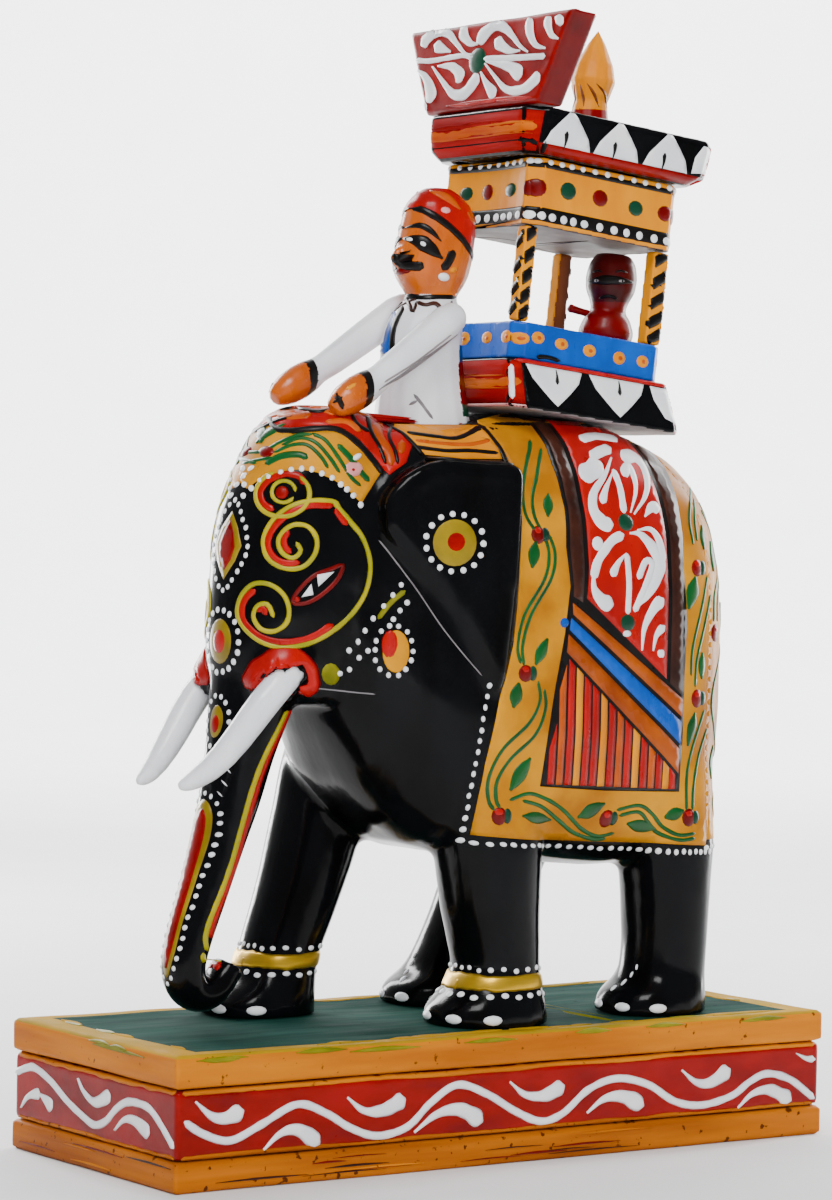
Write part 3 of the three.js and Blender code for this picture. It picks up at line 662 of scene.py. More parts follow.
FANS = [
    ([(23, 173), (27, 174.5), (31, 176.5)], 4.2, "line"),
    ([(35, 178), (31, 173.5), (26.5, 169), (25.5, 164.5), (28, 161.3), (31.2, 160.8)], 3.6, "comma"),
    ([(33.5, 174), (30.5, 170), (28.5, 166.2)], 2.4, "comma"),
    ([(35.3, 163.8), (35.3, 170), (34.2, 175)], 1.7, "line"),
    ([(37.4, 164), (40.5, 170), (40.5, 176), (37, 173.5)], 2.6, "comma"),
    ([(38.5, 163.6), (43.5, 168.5), (46, 174.5), (44, 178.5), (38.5, 178)], 3.4, "comma"),
    ([(42, 163), (45, 165.5), (47.6, 165)], 3.6, "comma"),
    ([(36.5, 158.8), (40, 158.5), (44, 155), (46.3, 151), (44.5, 146.5), (41.5, 142.5), (38.6, 139.8)], 3.0, "leaf"),
    ([(39, 159.6), (43.5, 159.8), (46.3, 156.5), (46.8, 151)], 3.0, "comma"),
    ([(34.5, 158.4), (30.5, 156.6), (26, 151.6), (24.2, 147)], 2.2, "line"),
    ([(24.3, 149), (24.5, 144.5), (27.3, 141.3), (30.6, 140.4)], 4.2, "comma"),
    ([(35.5, 138), (35.8, 146), (35.4, 153.5)], 1.5, "line"),
    ([(35.2, 153.6), (32.4, 151), (30.2, 147.6)], 2.6, "comma"),
    ([(37.6, 138.6), (41, 145), (43.6, 150.6), (41.5, 151.6), (38.8, 147)], 1.6, "line"),
    ([(40.3, 128.6), (41, 134.5), (44, 139.5), (47, 142)], 3.2, "comma"),
    ([(44, 128.5), (45, 132.5), (47.5, 135)], 2.4, "comma"),
    ([(46, 127), (47.3, 128.6)], 2.4, "line"),
    ([(28, 178), (32, 179.5), (36, 180.5)], 2.2, "line"),
    ([(27, 182.5), (33, 183.5), (41, 183)], 1.6, "line"),
]


def caparison(side):
    """The painted saddle cloth on one flank."""
    cloth = Sheet(elephant, flank(side), "caparison")
    field(cloth, "gold", BORDER, 0)
    field(cloth, "line_black", PANEL, 1)
    for colour, outline in BANDS:
        field(cloth, colour, outline, 2)
    for colour, y, top in STRIPES:
        foot = 94.9 - (y - 10) * 0.055
        fall = -0.95 if y > 16 else 3.2
        low, high = rng.uniform(0.95, 1.12), rng.uniform(0.95, 1.12)
        field(cloth, colour, [(y - low, foot), (y + low, foot), (y + high, top + fall), (y - high, top - fall)], 2, 1.1)
    dot(cloth, "blue", 15.3, 135.8, 1.5, 1.3, layer=3)
    for line in VINES:
        stroke(cloth, "green", line, 1.0, "line", 2, body=0.08)
    for y, z, wide, long, tilt in LEAVES:
        a = math.radians(90 - tilt)
        dy, dz = math.cos(a) * long / 2, math.sin(a) * long / 2
        stroke(cloth, "green", [(y - dy, z - dz), (y, z), (y + dy, z + dz)], wide * 1.1, "leaf", 3, body=0.1)
    for y, z in FLOWERS:
        dot(cloth, "dark_red", y - 0.7, z, 2.3, 2.5, layer=3)
        dot(cloth, "dark_green", y + 1.5, z, 1.4, 2.0, layer=4)
        dot(cloth, "red", y - 0.8, z + 0.9, 1.5, 1.2, layer=4)
    for line, width, form in FANS:
        stroke(cloth, "white", line, width * 1.25, form, 4, body=0.16)
    for y, z in ((35.5, 161.5), (35.5, 135.8)):
        dot(cloth, "dark_green", y, z, 2.9, 2.5, layer=5, turn=-15)
    dot(cloth, "white", 35.3, 133, 1.5, 1.0, layer=6)
    dot(cloth, "white", 26, 156, 2.1, 1.9, layer=5)
    front_edge = [(-7.5, 120), (-8.5, 113), (-9.6, 104), (-10.4, 95), (-10.3, 87), (-10, 80.8)]
    dots(cloth, "white", front_edge, 2.9, 0.64, 0.8)
    dots(cloth, "white", [(-8, 80.1), (10, 79), (30, 77.5), (47, 76.5)], 3.3, 1.02, 0.62, turn=-14)
    dots(cloth, "white", [(49, 76.4), (57, 76), (66, 75.8)], 1.9, 0.62, 0.85)
    stroke(cloth, "line_black", [(1.2, 187), (2.5, 170), (0.4, 160), (0, 150), (-0.6, 140), (-1.4, 131)], 1.3, layer=2)


# The rump: the same cloth carried round the back, measured along an arc about an upright axis.
RUMP_X, RUMP_Y, RUMP_RADIUS = 0, 42, 35


def rump(side):
    """Half of the cloth over the rump."""
    cloth = Sheet(elephant, round_about(RUMP_X, RUMP_Y, RUMP_RADIUS, 90, side), "caparison")
    middle = math.pi * RUMP_RADIUS
    edge = 75.5
    field(cloth, "gold", [(edge, 79), (middle, 79), (middle, 172), (96, 176), (edge, 172)], 0)
    field(cloth, "line_black", [(90, 91.5), (middle, 91.5), (middle, 166), (90, 168)], 1)
    field(cloth, "red", [(91.2, 141.5), (middle, 127), (middle, 165), (91.2, 166.5)], 2)
    field(cloth, "band_orange", [(91.2, 140.2), (middle, 125.7), (middle, 120.5), (91.2, 136)], 2)
    field(cloth, "blue", [(91.2, 135), (middle, 119.4), (middle, 113.6), (91.2, 130)], 2)
    field(cloth, "band_orange", [(91.2, 129), (middle, 112.4), (middle, 107), (91.2, 124.6)], 2)
    for k in range(7):
        u = 92.6 + k * 2.75
        top = 122.6 - (u - 91.2) * 0.93
        stroke(cloth, ("red", "orange")[k % 2], [(u, 93), (u, 100), (u, top)], 1.95, "square", 2, uneven=0.12)
    for line, width in (
        ([(93, 160), (97, 161), (101, 157), (101, 152)], 3.4),
        ([(104, 149), (108, 155), (middle, 163)], 2.6),
        ([(102, 149), (97, 148), (94, 151), (95, 155)], 3.2),
        ([(103, 148), (105, 141), (109, 137)], 3.0),
        ([(101, 147), (98, 144), (94.5, 143.5)], 2.4),
    ):
        stroke(cloth, "white", line, width, "comma", 4, body=0.2)
    dot(cloth, "dark_green", 103, 149.5, 2.6, 2.4, layer=5)
    dots(cloth, "white", [(edge, 77), (92, 77), (middle, 77)], 2.5, 0.9, 0.75)
    for line in (
        [(80, 165), (85, 157), (84, 150), (79, 143), (78, 136)],
        [(82, 167), (87, 158), (86, 149), (81, 142), (80, 136)],
        [(86, 130), (80, 122), (78, 114), (81, 107), (86, 100)],
        [(84, 92), (80, 88), (84, 84), (92, 87), (99, 83.5), (106, 87), (middle, 86)],
    ):
        stroke(cloth, "green", line, 1.0, "line", 2, body=0.08)
    for u, v, wide, long, tilt in ((80, 153, 3, 8, 10), (86, 137, 3, 8, -15), (80, 99, 3, 9, 15), (92, 83, 2.6, 8, 80), (102, 88, 2.6, 8, 95)):
        a = math.radians(90 - tilt)
        du, dv = math.cos(a) * long / 2, math.sin(a) * long / 2
        stroke(cloth, "green", [(u - du, v - dv), (u, v), (u + du, v + dv)], wide, "leaf", 3)
    for u, v in ((79, 133), (87, 96), (middle - 0.5, 83)):
        dot(cloth, "dark_red", u, v, 2.3, 2.5, layer=3)
        dot(cloth, "red", u, v + 0.8, 1.4, 1.1, layer=4)


# ---------------------------------------------------------------- the head and trunk

HEAD_BAND = [
    (-48.5, 184), (-49, 178), (-47.5, 173), (-45.5, 169), (-44, 168.2), (-41.5, 170), (-38, 171.7), (-34, 172.8),
    (-30, 173.2), (-26, 172.5), (-22, 170.7), (-19, 168.7), (-17, 166.7), (-15.5, 165), (-11, 173), (-13.5, 177.5),
    (-17, 181), (-22, 183), (-28, 182.8), (-33, 182), (-37, 183.2), (-41, 187), (-45, 187.4),
]
HEAD_CLOTH = [
    (-46, 188.5), (-41, 186.6), (-37, 183.3), (-30, 183.6), (-22, 183.6), (-16.5, 180.6), (-12, 175), (-9, 172.3),
    (-5, 175.5), (-4, 180), (-6, 184), (-9, 187), (-16, 189), (-26, 190), (-36, 190),
]
BAND_DOTS = [
    (-45.9, 173.3), (-45.4, 171.4), (-44.9, 169.2), (-44.9, 166.4), (-42.8, 168.3), (-40.5, 170.2), (-38.3, 171.3),
    (-35.2, 172.4), (-32.6, 173.1), (-30, 173.4), (-27.5, 173.3), (-25, 172.3), (-22.5, 171.3), (-20.4, 169.7),
    (-18.9, 168.5), (-17.4, 167), (-15.6, 164.7),
]
BIG_CURL = [
    (-22, 165.4), (-18, 160.6), (-14.6, 156), (-12.8, 150), (-13.5, 144), (-16, 139), (-20, 134.5), (-25, 131),
    (-30, 129.4), (-35, 129.2), (-40, 131), (-44, 134.5), (-45.3, 138), (-44, 142), (-41, 144.6), (-37, 144.6),
    (-33.5, 142.3), (-31.9, 138.5), (-32.6, 135), (-35.6, 133), (-39, 133.6), (-40.9, 136.6), (-39.8, 139.2),
    (-37.3, 139.6), (-35.6, 136.4),
]
UPPER_CURL = [
    (-20.5, 164.4), (-22.5, 165.5), (-28, 165.4), (-33, 163.6), (-37, 160), (-38.9, 155.4), (-37.5, 151), (-33.5, 148.7),
    (-29, 149), (-26.1, 152), (-25.6, 156), (-28, 159.2), (-32, 159.2), (-34.9, 156), (-34.2, 152.8), (-31.4, 151.2),
    (-29.4, 153), (-30.6, 155.2),
]
RED_CURLS = [
    [(-22, 164.4), (-27.5, 164.3), (-32, 162.6), (-35.8, 159.2), (-37.7, 155.4), (-36.6, 152), (-33.3, 149.9), (-29.5, 150.2)],
    [(-32.4, 158), (-33.6, 155.8), (-33, 153.6), (-31.6, 152.5)],
    [(-21.5, 163.6), (-18.6, 159.6)],
    [(-21.5, 134.9), (-26, 131.9), (-31, 130.5), (-36, 130.6), (-40.5, 132.4), (-43.4, 135.4), (-44, 138.4), (-42.9, 141.2), (-40.5, 143.2)],
    [(-39.9, 137.8), (-38.6, 138.6), (-37.4, 137)],
    [(-28.9, 169.5), (-30.5, 171.5), (-34, 172), (-38, 170.5), (-40.2, 167.6), (-39.2, 164.6), (-36.4, 163)],
]
HEAD_VINES = [
    ([(-48, 176), (-45, 175.2), (-42, 174.6)], 1.0),
    ([(-39.5, 174.4), (-35.5, 176.4), (-31, 176.9), (-28.6, 176)], 1.7),
    ([(-44.5, 177.4), (-40.5, 177.6), (-36, 180), (-31.5, 181.8), (-28, 182)], 0.9),
    ([(-37.5, 177.3), (-33, 179.2), (-29, 179.3), (-25.5, 176.5), (-23.5, 173.6)], 0.9),
    ([(-35.5, 179.2), (-31, 181), (-27, 180), (-23.5, 176.5), (-20.8, 172.6)], 0.9),
    ([(-28, 182.2), (-24.5, 180.5), (-21, 176), (-18, 171.4), (-15.8, 169.4)], 0.9),
    ([(-21.6, 179.6), (-18.6, 176.5), (-16, 173), (-13.8, 170.6)], 1.4),
]


def head(side):
    """The paint on one half of the head, from the band across the brow down to the cheek."""
    face = Sheet(elephant, slant(side), "head")
    field(face, "gold", HEAD_BAND, 0, 1.3)
    field(face, "red", HEAD_CLOTH, 1, 1.3)
    for line, width in HEAD_VINES:
        stroke(face, "green", line, width, layer=2, body=0.1)
    stroke(face, "green", [(-42.3, 184.5), (-41.6, 182), (-41.4, 179.6)], 3.2, "leaf", 2)
    dot(face, "dark_red", -39.6, 177.5, 2.3, 1.5, layer=4)
    dot(face, "pink", -17.6, 173.6, 2.2, 2.0, layer=4)
    dot(face, "white", -17, 176.6, 1.4, 0.8, 40, layer=5)
    dot(face, "red", -17.8, 173.4, 0.8, layer=5)
    edge = [(-44, 188.4), (-41, 186.6), (-38, 183.6), (-34, 182.9), (-28, 183.4), (-22, 183.4), (-17, 180.2), (-12.6, 175.2), (-10.6, 172.6)]
    stroke(face, "line_black", edge, 1.4, layer=3)
    for line, width, colour in (
        ([(-41, 188.4), (-35, 186.6), (-29, 187)], 1.8, "orange"),
        ([(-27, 189), (-22, 187.6), (-18, 188.4)], 1.8, "orange"),
        ([(-25, 185.2), (-20, 185.4), (-16.6, 183)], 1.3, "orange"),
        ([(-13.6, 186), (-12.4, 182), (-9.6, 178), (-8.6, 174.6)], 2.0, "orange"),
        ([(-6.8, 181), (-6.4, 177.6)], 1.8, "orange"),
        ([(-33, 188.8), (-27.5, 187.8), (-23, 189)], 0.8, "line_black"),
        ([(-15.6, 187.4), (-14.2, 183), (-11.8, 179), (-10, 175)], 0.9, "line_black"),
        ([(-10, 186), (-10, 182), (-8, 178.4), (-7, 175)], 0.9, "line_black"),
        ([(-19.5, 188), (-17.6, 185), (-14.6, 183)], 0.9, "line_black"),
    ):
        stroke(face, colour, line, width, layer=3)
    for u, v in BAND_DOTS:
        dot(face, "white", u, v, 0.75, 0.82, layer=2)
    for line in RED_CURLS:
        stroke(face, "red", line, 1.5, layer=1, body=0.1)
    stroke(face, "lime", oval(-34.6, 167, 6.9, 5.6, 52, -250), 1.1, layer=2)
    stroke(face, "lime", oval(-34.2, 167.6, 3.0, 2.7, 330, 0), 0.9, layer=2)
    dot(face, "deep_red", -34.6, 167.4, 1.9, 1.6, layer=1)
    stroke(face, "lime", UPPER_CURL, 1.1, layer=2)
    stroke(face, "lime", BIG_CURL, 1.1, layer=2)
    lid = [(-31, 140.2), (-29.6, 143.4), (-26, 147), (-22, 148.7), (-19.4, 149.6), (-20.6, 146), (-24, 142.4), (-27.6, 140.2)]
    stroke(face, "dark_red", lid, 0.95, layer=1, closed=True)
    field(face, "white", [(-29, 141.6), (-26.7, 144.9), (-26.2, 142.2)], 3, 0.7)
    field(face, "white", [(-25.4, 147.2), (-21.4, 148), (-25, 144.3)], 3, 0.7)
    dot(face, "red", -30, 141, 0.8, layer=3)
    stroke(face, "red", [(-42.4, 118.8), (-39.4, 123.4), (-34.5, 126.6), (-29.6, 126.2), (-27.2, 122), (-27.6, 117)], 4.4, layer=2, body=0.3)
    stroke(face, "red", [(-41, 118.5), (-36.5, 122.6), (-31.5, 124.4)], 3.0, layer=2, body=0.3)
    dot(face, "olive", -22, 122.4, 2.3, 3.0, layer=1)
    dot(face, "white", -20, 122.6, 0.8, layer=2)
    dot(face, "gold", -6, 128.4, 3.7, 5.4, layer=1, body=0.12, sides=20)
    dot(face, "red", -7.4, 130, 2.4, 3.6, layer=3, body=0.15)
    dot(face, "red", -31, 121.6, 4.4, 4.8, layer=0, body=0.1)
    # Painted highlight: a thin grey line along the lower edge of the jaw, where the edge catches the light.
    stroke(face, "grey", [(-25, 118.8), (-18, 118), (-11, 117.6)], 0.35, layer=0, body=0.05)
    dots(face, "white", oval(-6.6, 128.6, 4.7, 6.4), 2.55, 0.7, 0.75, closed=True, layer=2)
    stroke(face, "olive", [(-4, 143.6), (-7.6, 140.4), (-10.6, 136.4)], 1.2, layer=1)
    for u, v in (
        (-5, 145), (-7, 142.4), (-9.2, 139.6), (-3.5, 140.6), (-5.2, 138.6), (-6.8, 136.4), (-11.8, 136.5),
        (-13.8, 133.4), (-15.5, 130.6), (-17.7, 128.4), (-17.6, 123.6), (-15.2, 126.6), (-13, 128.4),
    ):
        dot(face, "white", u, v, 0.7, 0.8, layer=2)

    ear = Sheet(elephant, flank(side), "head")
    dot(ear, "old_gold", -17.7, 155.7, 5.9, layer=0, body=0.12, sides=24)
    # Painted highlight: a thin grey line along the edge of the ear, where the edge catches the light.
    stroke(ear, "grey", [(-34.5, 156), (-28, 146), (-19, 133), (-9.5, 122.5)], 0.32, layer=0, body=0.04)
    dot(ear, "dry_red", -17.4, 155.9, 2.9, 3.2, layer=2, body=0.12, sides=16)
    dots(ear, "white", oval(-17.7, 155.7, 7.5, 7.3), 3.2, 0.82, 0.84, closed=True)
    field(ear, "yellow", [(-21, 190), (-22, 183), (-20, 177.6), (-10, 176.8), (1.2, 177), (1.5, 184), (0, 190)], 2, 1.4)
    stroke(ear, "line_black", [(-21.6, 179.4), (-14, 178.6), (-7, 178.8), (0.6, 178.4)], 1.0, layer=4)
    stroke(ear, "line_black", [(-21, 183), (-14, 182.2), (-8, 182), (0.8, 185)], 1.0, layer=4)
    stroke(ear, "orange", [(-20.4, 181), (-13, 180.4), (-6, 180.4), (0.4, 181.6)], 0.9, layer=4)
    stroke(ear, "line_black", [(-21.8, 189), (-22.4, 184), (-20.8, 177.6)], 1.2, layer=4)
    stroke(ear, "line_black", [(-20.6, 176.6), (-10, 175.9), (1.4, 176)], 0.9, layer=4)

    trunk_side = Sheet(elephant, flank(side), "trunk")
    strip = [(-51.4, 113), (-54.4, 107), (-57.4, 101), (-60, 94), (-62.4, 85), (-64.8, 76), (-68, 67.6), (-70.8, 61), (-71.9, 56.6), (-71, 53.4)]
    stroke(trunk_side, "lime", strip, 1.5, layer=1)
    stroke(trunk_side, "red", [(y + 1.5, z) for y, z in strip[:-1]], 1.7, layer=2)
    curl = Sheet(elephant, slant(side), "trunk")
    stroke(curl, "lime", [(-51.6, 53), (-51.4, 51), (-50, 50)], 1.0, layer=1)
    stroke(curl, "red", [(-50.6, 49.4), (-49.4, 48.8), (-48.2, 49)], 1.6, layer=2)
    for line in ([(-47.4, 98.8), (-46, 97.4)], [(-48.4, 95.6), (-46.8, 94.2)], [(-49.4, 92.8), (-48, 91.6)]):
        stroke(curl, "white", line, 0.45, "leaf", layer=0, body=0.05)


def brow():
    """The ornament down the middle of the brow and trunk."""
    face = Sheet(elephant, ahead(NEAR), "brow")
    field(face, "old_gold", [(0, 162.6), (3.6, 158.6), (5.9, 154), (4, 150), (0, 145.4), (-4, 150), (-5.9, 154), (-3.6, 158.6)], 0, 1.1)
    field(face, "deep_red", [(0, 160.4), (2.6, 157), (3.6, 153.6), (2.4, 150.4), (0, 147.8), (-2.4, 150.4), (-3.6, 153.6), (-2.6, 157)], 2, 1.1)
    diamond = [(0, 165.3), (4.6, 161), (8, 154), (5.4, 147.8), (0, 142.6), (-5.4, 147.8), (-8, 154), (-4.6, 161)]
    dots(face, "white", diamond, 2.4, 0.7, 0.75, closed=True)
    dot(face, "old_gold", 0, 130, 5.6, 5.9, layer=0, body=0.12, sides=24)
    dot(face, "red", 0, 130, 3.4, 3.6, layer=2, body=0.12, sides=16)
    dots(face, "white", oval(0, 130, 7.4, 7.8), 2.7, 0.82, 0.84, closed=True)
    dot(face, "old_gold", 0, 110, 3.2, 4.2, layer=0, body=0.12, sides=20)
    dot(face, "deep_red", 0, 109.4, 1.8, 2.4, layer=2, body=0.3)
    dots(face, "white", oval(0, 110, 5, 6.4), 2.5, 0.7, 0.72, closed=True)
    lobe = [(0, 90.6), (3.6, 88), (4.6, 82), (3.9, 73), (3.1, 62), (2.6, 52), (0, 46.4), (-2.6, 52), (-3.1, 62), (-3.9, 73), (-4.6, 82), (-3.6, 88)]
    field(face, "old_gold", lobe, 0, 1.1, curved=True)
    field(face, "deep_red", [(x * 0.62, 68 + (z - 68) * 0.9) for x, z in lobe], 2, 1.1, curved=True)
    dots(face, "white", [(x * 1.33, 68.5 + (z - 68.5) * 1.07) for x, z in lobe], 2.6, 0.6, 0.68, closed=True)


def back(side):
    """Half of the cloth over the top of the rump, behind the howdah."""
    cloth = Sheet(elephant, above(side), "caparison")
    field(cloth, "gold", [(44, 0), (44, 15), (54, 20), (58, 27), (64, 27), (68, 23), (71, 17), (73, 8), (73.6, 0)], 0)


brow()
for hand in (NEAR, FAR):
    back(hand)
    caparison(hand)
    rump(hand)
    head(hand)

crown = Sheet(elephant, above(NEAR), "head")
field(crown, "red", [(-46, -11), (-44, 0), (-46, 11), (-36, 15), (-20, 14), (-20, -14), (-36, -15)], 0, 1.4)
for line, width in (([(-44, -6), (-36, -2), (-28, -5)], 2.2), ([(-43, 5), (-36, 8), (-27, 4)], 2.2), ([(-33, 11), (-27, 9)], 1.8)):
    stroke(crown, "orange", line, width, layer=3)

# ---------------------------------------------------------------- the feet

points_of_elephant, _ = mesh_arrays(elephant.data)


def slice_middle(side, rear, low, high):
    """The middle (x, y) of a leg between two heights."""
    x, y, z = points_of_elephant.T
    apart = 34 if side == NEAR else 0
    here = (z > low) & (z < high) & (x * side > 9) & ((y > apart) == rear)
    return float((x[here].min() + x[here].max()) / 2), float((y[here].min() + y[here].max()) / 2)


def anklet(side, rear, z):
    """A gold band with a row of white blobs above and below it."""
    x, y = slice_middle(side, rear, z - 4, z + 4)
    leg = Sheet(elephant, round_about(x, y, 11, 19), "anklets")
    turn = 2 * math.pi * 11
    stroke(leg, "gilt", [(turn * i / 24, z + 0.3 * math.sin(i)) for i in range(24)], 3.1, closed=True, layer=0, body=0.4)
    for rise, size in ((3.2, 0.85), (-3.3, 1.0)):
        for i in range(20):
            dot(leg, "white", turn * i / 20, z + rise + 0.3 * math.sin(i * 2.1), size, 0.7)


def toes(side, rear):
    """Four painted toenails."""
    x, y = slice_middle(side, rear, 33.5, 36)
    foot = Sheet(elephant, round_about(x, y, 12, 24), "toenails")
    for degrees in (-60, -20, 20, 60):
        dot(foot, "white", math.radians(degrees) * 12, 35.4, 2.1, 1.3, layer=1, body=0.5)


for hand, height in ((NEAR, 44.4), (FAR, 47.4)):
    anklet(hand, False, height)
for hand in (NEAR, FAR):
    heel_x, heel_y = slice_middle(hand, True, 36, 46)
    ankle = Sheet(elephant, round_about(heel_x, heel_y, 11, 19, hand), "anklets")
    for u, v in ((3.2, 45.2), (1.6, 43.2), (0.4, 41.2), (-1.4, 39.6)):
        dot(ankle, "white", u, v, 0.6, 0.75)
for hand in (NEAR, FAR):
    for at_rear in (False, True):
        toes(hand, at_rear)

# ---------------------------------------------------------------- the howdah


def rough_bands(sheet, low, high, half, bands):
    """Paint dragged along a board with a dry brush."""
    for colour, v, width, count in bands:
        for _ in range(count):
            start = rng.uniform(-half, half * 0.4)
            end = min(start + rng.uniform(half * 0.5, half * 1.2), half - 0.6)
            height = min(max(v + rng.uniform(-0.7, 0.7), low + 0.8), high - 0.8)
            middle = height + rng.uniform(-0.4, 0.4)
            line = [(start, height), ((start + end) / 2, middle), (end, height + rng.uniform(-0.3, 0.3))]
            stroke(sheet, colour, line, width * rng.uniform(0.5, 1.0), "leaf", 2, body=0.02)


def howdah_side(side):
    """The boards of the howdah on one side."""
    for base, tip, row, gap, tall in ((54.9, 64.4, (-15.6, 0.2, 16.4), 15.6, 1), (-1.5, -11.4, (-10.8, 9.6), 20, 1)):
        board = Sheet(roof if base > 0 else floor_board, on_howdah(flank(side)), "howdah")
        reach = (tip - base)
        for y in row:
            half = gap * 0.47 if base > 0 else gap * 0.45
            outline = [
                (y - half, base), (y - half * 0.8, base + reach * 0.34), (y - half * 0.46, base + reach * 0.64),
                (y - half * 0.2, base + reach * 0.86), (y, base + reach), (y + half * 0.22, base + reach * 0.84),
                (y + half * 0.5, base + reach * 0.62), (y + half * 0.84, base + reach * 0.32), (y + half, base),
            ]
            field(board, "white", outline, 1, 1.1)
            notch = y - 1 if base > 0 else y + 0.5
            stroke(board, "line_black", [(notch, base - 0.4), (notch + 0.2, base + reach * 0.2), (notch, base + reach * 0.42)], 1.7, "comma", 3)
    top_board = Sheet(roof, on_howdah(flank(side)), "howdah")
    field(top_board, "white", [(25.2, 55.2), (25.6, 59.5), (27.8, 62.8), (32.6, 62.4), (32, 56.2)], 1, 1.1)
    field(top_board, "deep_red", [(-22, 52.5), (27, 52.5), (29.5, 54.7), (-24, 54.9)], 0, 1.2)
    low_board = Sheet(floor_board, on_howdah(flank(side)), "howdah")
    stroke(low_board, "red", [(-22, -0.9), (0, -0.8), (26, -0.9)], 0.9, layer=3)
    stroke(low_board, "white", [(-22.6, -2), (-22.9, -11)], 1.0, layer=2)
    field(low_board, "white", [(20.6, -1.6), (21.4, -5), (24.6, -9.6), (28.6, -10.8), (28, -1.8)], 1, 1.1)

    band = Sheet(frieze, on_howdah(flank(side)), "howdah")
    for low, high in ((49.3, 51.9), (34.5, 39.1)):
        field(band, "line_black", [(-22.3, low), (25.9, low), (25.9, high), (-22.3, high)], 0, 1.3)
    for y in (-20.6, -17.4, -13.8, -10.6, -7, -3, 1, 5.5, 9.7, 13.5, 17.8, 21.6, 25):
        dot(band, "white", y, 50.9, 0.95, 0.8, layer=2)
    for y in (-21, -18.5, -15.2, -11.5, -8.4, -4.8, 0.2, 4.9, 9, 13.3, 18.2, 22.4):
        dot(band, "white", y, 37, 1.25, 1.15, layer=2)
    for y, z, colour in ((-11, 44.6, "dark_green"), (11.2, 43.8, "dark_green"), (-0.6, 44.5, "dark_red"), (-20.4, 44, "dark_red"), (21, 44, "dark_red")):
        dot(band, colour, y, z, 2.5, 2.3, layer=1, body=0.25)

    blue = Sheet(rail, on_howdah(flank(side)), "howdah")
    for y, z in ((-20.4, 5), (-15.6, 5.8), (-8, 5.3), (1.2, 4.9), (11, 4.4), (18.7, 4.6)):
        dot(blue, "yellow", y, z, 2.2, 1.7, layer=1, body=0.12)
        dot(blue, "orange", y + 0.2, z, 1.0, 0.8, layer=3, body=0.1)
    stroke(blue, "line_black", [(-15.5, 0.9), (-12, 1.3), (-8, 0.9)], 1.0, layer=2)

    for end, y0, half in (("front", -19.8, 1.9), ("rear", 22.9, 2.4) if side == NEAR else ("rear", 17, 1.9)):
        post = Sheet(posts[end, "near" if side == NEAR else "far"], on_howdah(flank(side)), "howdah")
        for z in (11.6, 16.2, 21.4, 26.8, 32.6):
            stroke(post, "line_black", [(y0 - half, z - 1.6), (y0, z), (y0 + half, z + 1.5)], 2.4, "square", 2, step=0.6)
    for post_end, look in (("front", ahead), ("rear", behind)):
        post = Sheet(posts[post_end, "near" if side == NEAR else "far"], on_howdah(look(side)), "howdah")
        for z in (13.2, 18.4, 24, 30.6):
            stroke(post, "line_black", [(15.2, z - 1.3), (17, z), (18.88, z + 1.4)], 2.4, "square", 2, step=0.6)


def howdah_end(look, board_look):
    """The boards across one end."""
    band = Sheet(frieze, on_howdah(look(NEAR)), "howdah")
    for low, high in ((49.3, 51.9), (34.5, 39.1)):
        field(band, "line_black", [(-20.7, low), (20.7, low), (20.7, high), (-20.7, high)], 0, 1.3)
    for x in (-18, -13.6, -9.4, -5.2, -1.4, 2.8, 6.8, 10.3, 13.8, 18):
        dot(band, "white", x, 50.8, 0.95, 0.8, layer=2)
    for x in (-18.6, -14.6, -10.6, -7.2, -4, 0, 4.2, 7.6, 10.8, 15, 18.8):
        dot(band, "white", x, 36.9, 1.25, 1.15, layer=2)
    for x, colour in ((-18.2, "dark_red"), (-9.9, "dark_green"), (-1, "dark_red"), (9.8, "dark_green"), (18.2, "dark_red")):
        dot(band, colour, x, 43.8, 2.6 if abs(x) < 15 else 1.8, 2.1, layer=1, body=0.25)
    blue = Sheet(rail, on_howdah(look(NEAR)), "howdah")
    for x in (-16, -9, -3.6, 6.8, 16):
        dot(blue, "yellow", x, 5.3, 2.6, 1.8, layer=1, body=0.12)
        dot(blue, "orange", x + 0.3, 5.2, 1.1, 0.8, layer=3, body=0.1)
    low_board = Sheet(floor_board, on_howdah(board_look(NEAR)), "howdah")
    field(low_board, "dry_red", [(-21.6, -0.9), (21.6, -0.9), (25.2, -12), (-25.2, -12)], 0, 1.6)
    stroke(low_board, "dry_orange", [(-23, -6.3), (-12, -6.8), (0, -6.2), (12, -6.9), (23, -6.4)], 2.3, layer=1, body=0.02, uneven=0.2)
    field(low_board, "pink", [(-25.2, -12.2), (25.2, -12.2), (25.4, -12.9), (-25.4, -12.9)], 0, 1.2)
    rough_bands(low_board, -12, -1, 22.5, (("dry_red", -4.6, 0.7, 4), ("dry_orange", -5.2, 0.6, 4), ("dry_orange", -8, 0.6, 4)))
    high_board = Sheet(roof, on_howdah(board_look(NEAR)), "howdah")
    field(high_board, "dry_red", [(-21.4, 53), (21.4, 53), (23.4, 55), (24.4, 63), (-24.4, 63), (-23.4, 55)], 0, 1.6)
    stroke(high_board, "dry_orange", [(-23, 58.6), (-12, 58.1), (0, 58.8), (12, 58.2), (23, 59)], 2.5, layer=1, body=0.02, uneven=0.2)
    rough_bands(high_board, 53, 63.4, 23, (("dry_red", 60.2, 0.6, 4), ("dry_orange", 57, 0.6, 4), ("dry_orange", 60.4, 0.6, 4)))


for hand in (NEAR, FAR):
    howdah_side(hand)
howdah_end(ahead, ahead)
howdah_end(behind, behind)

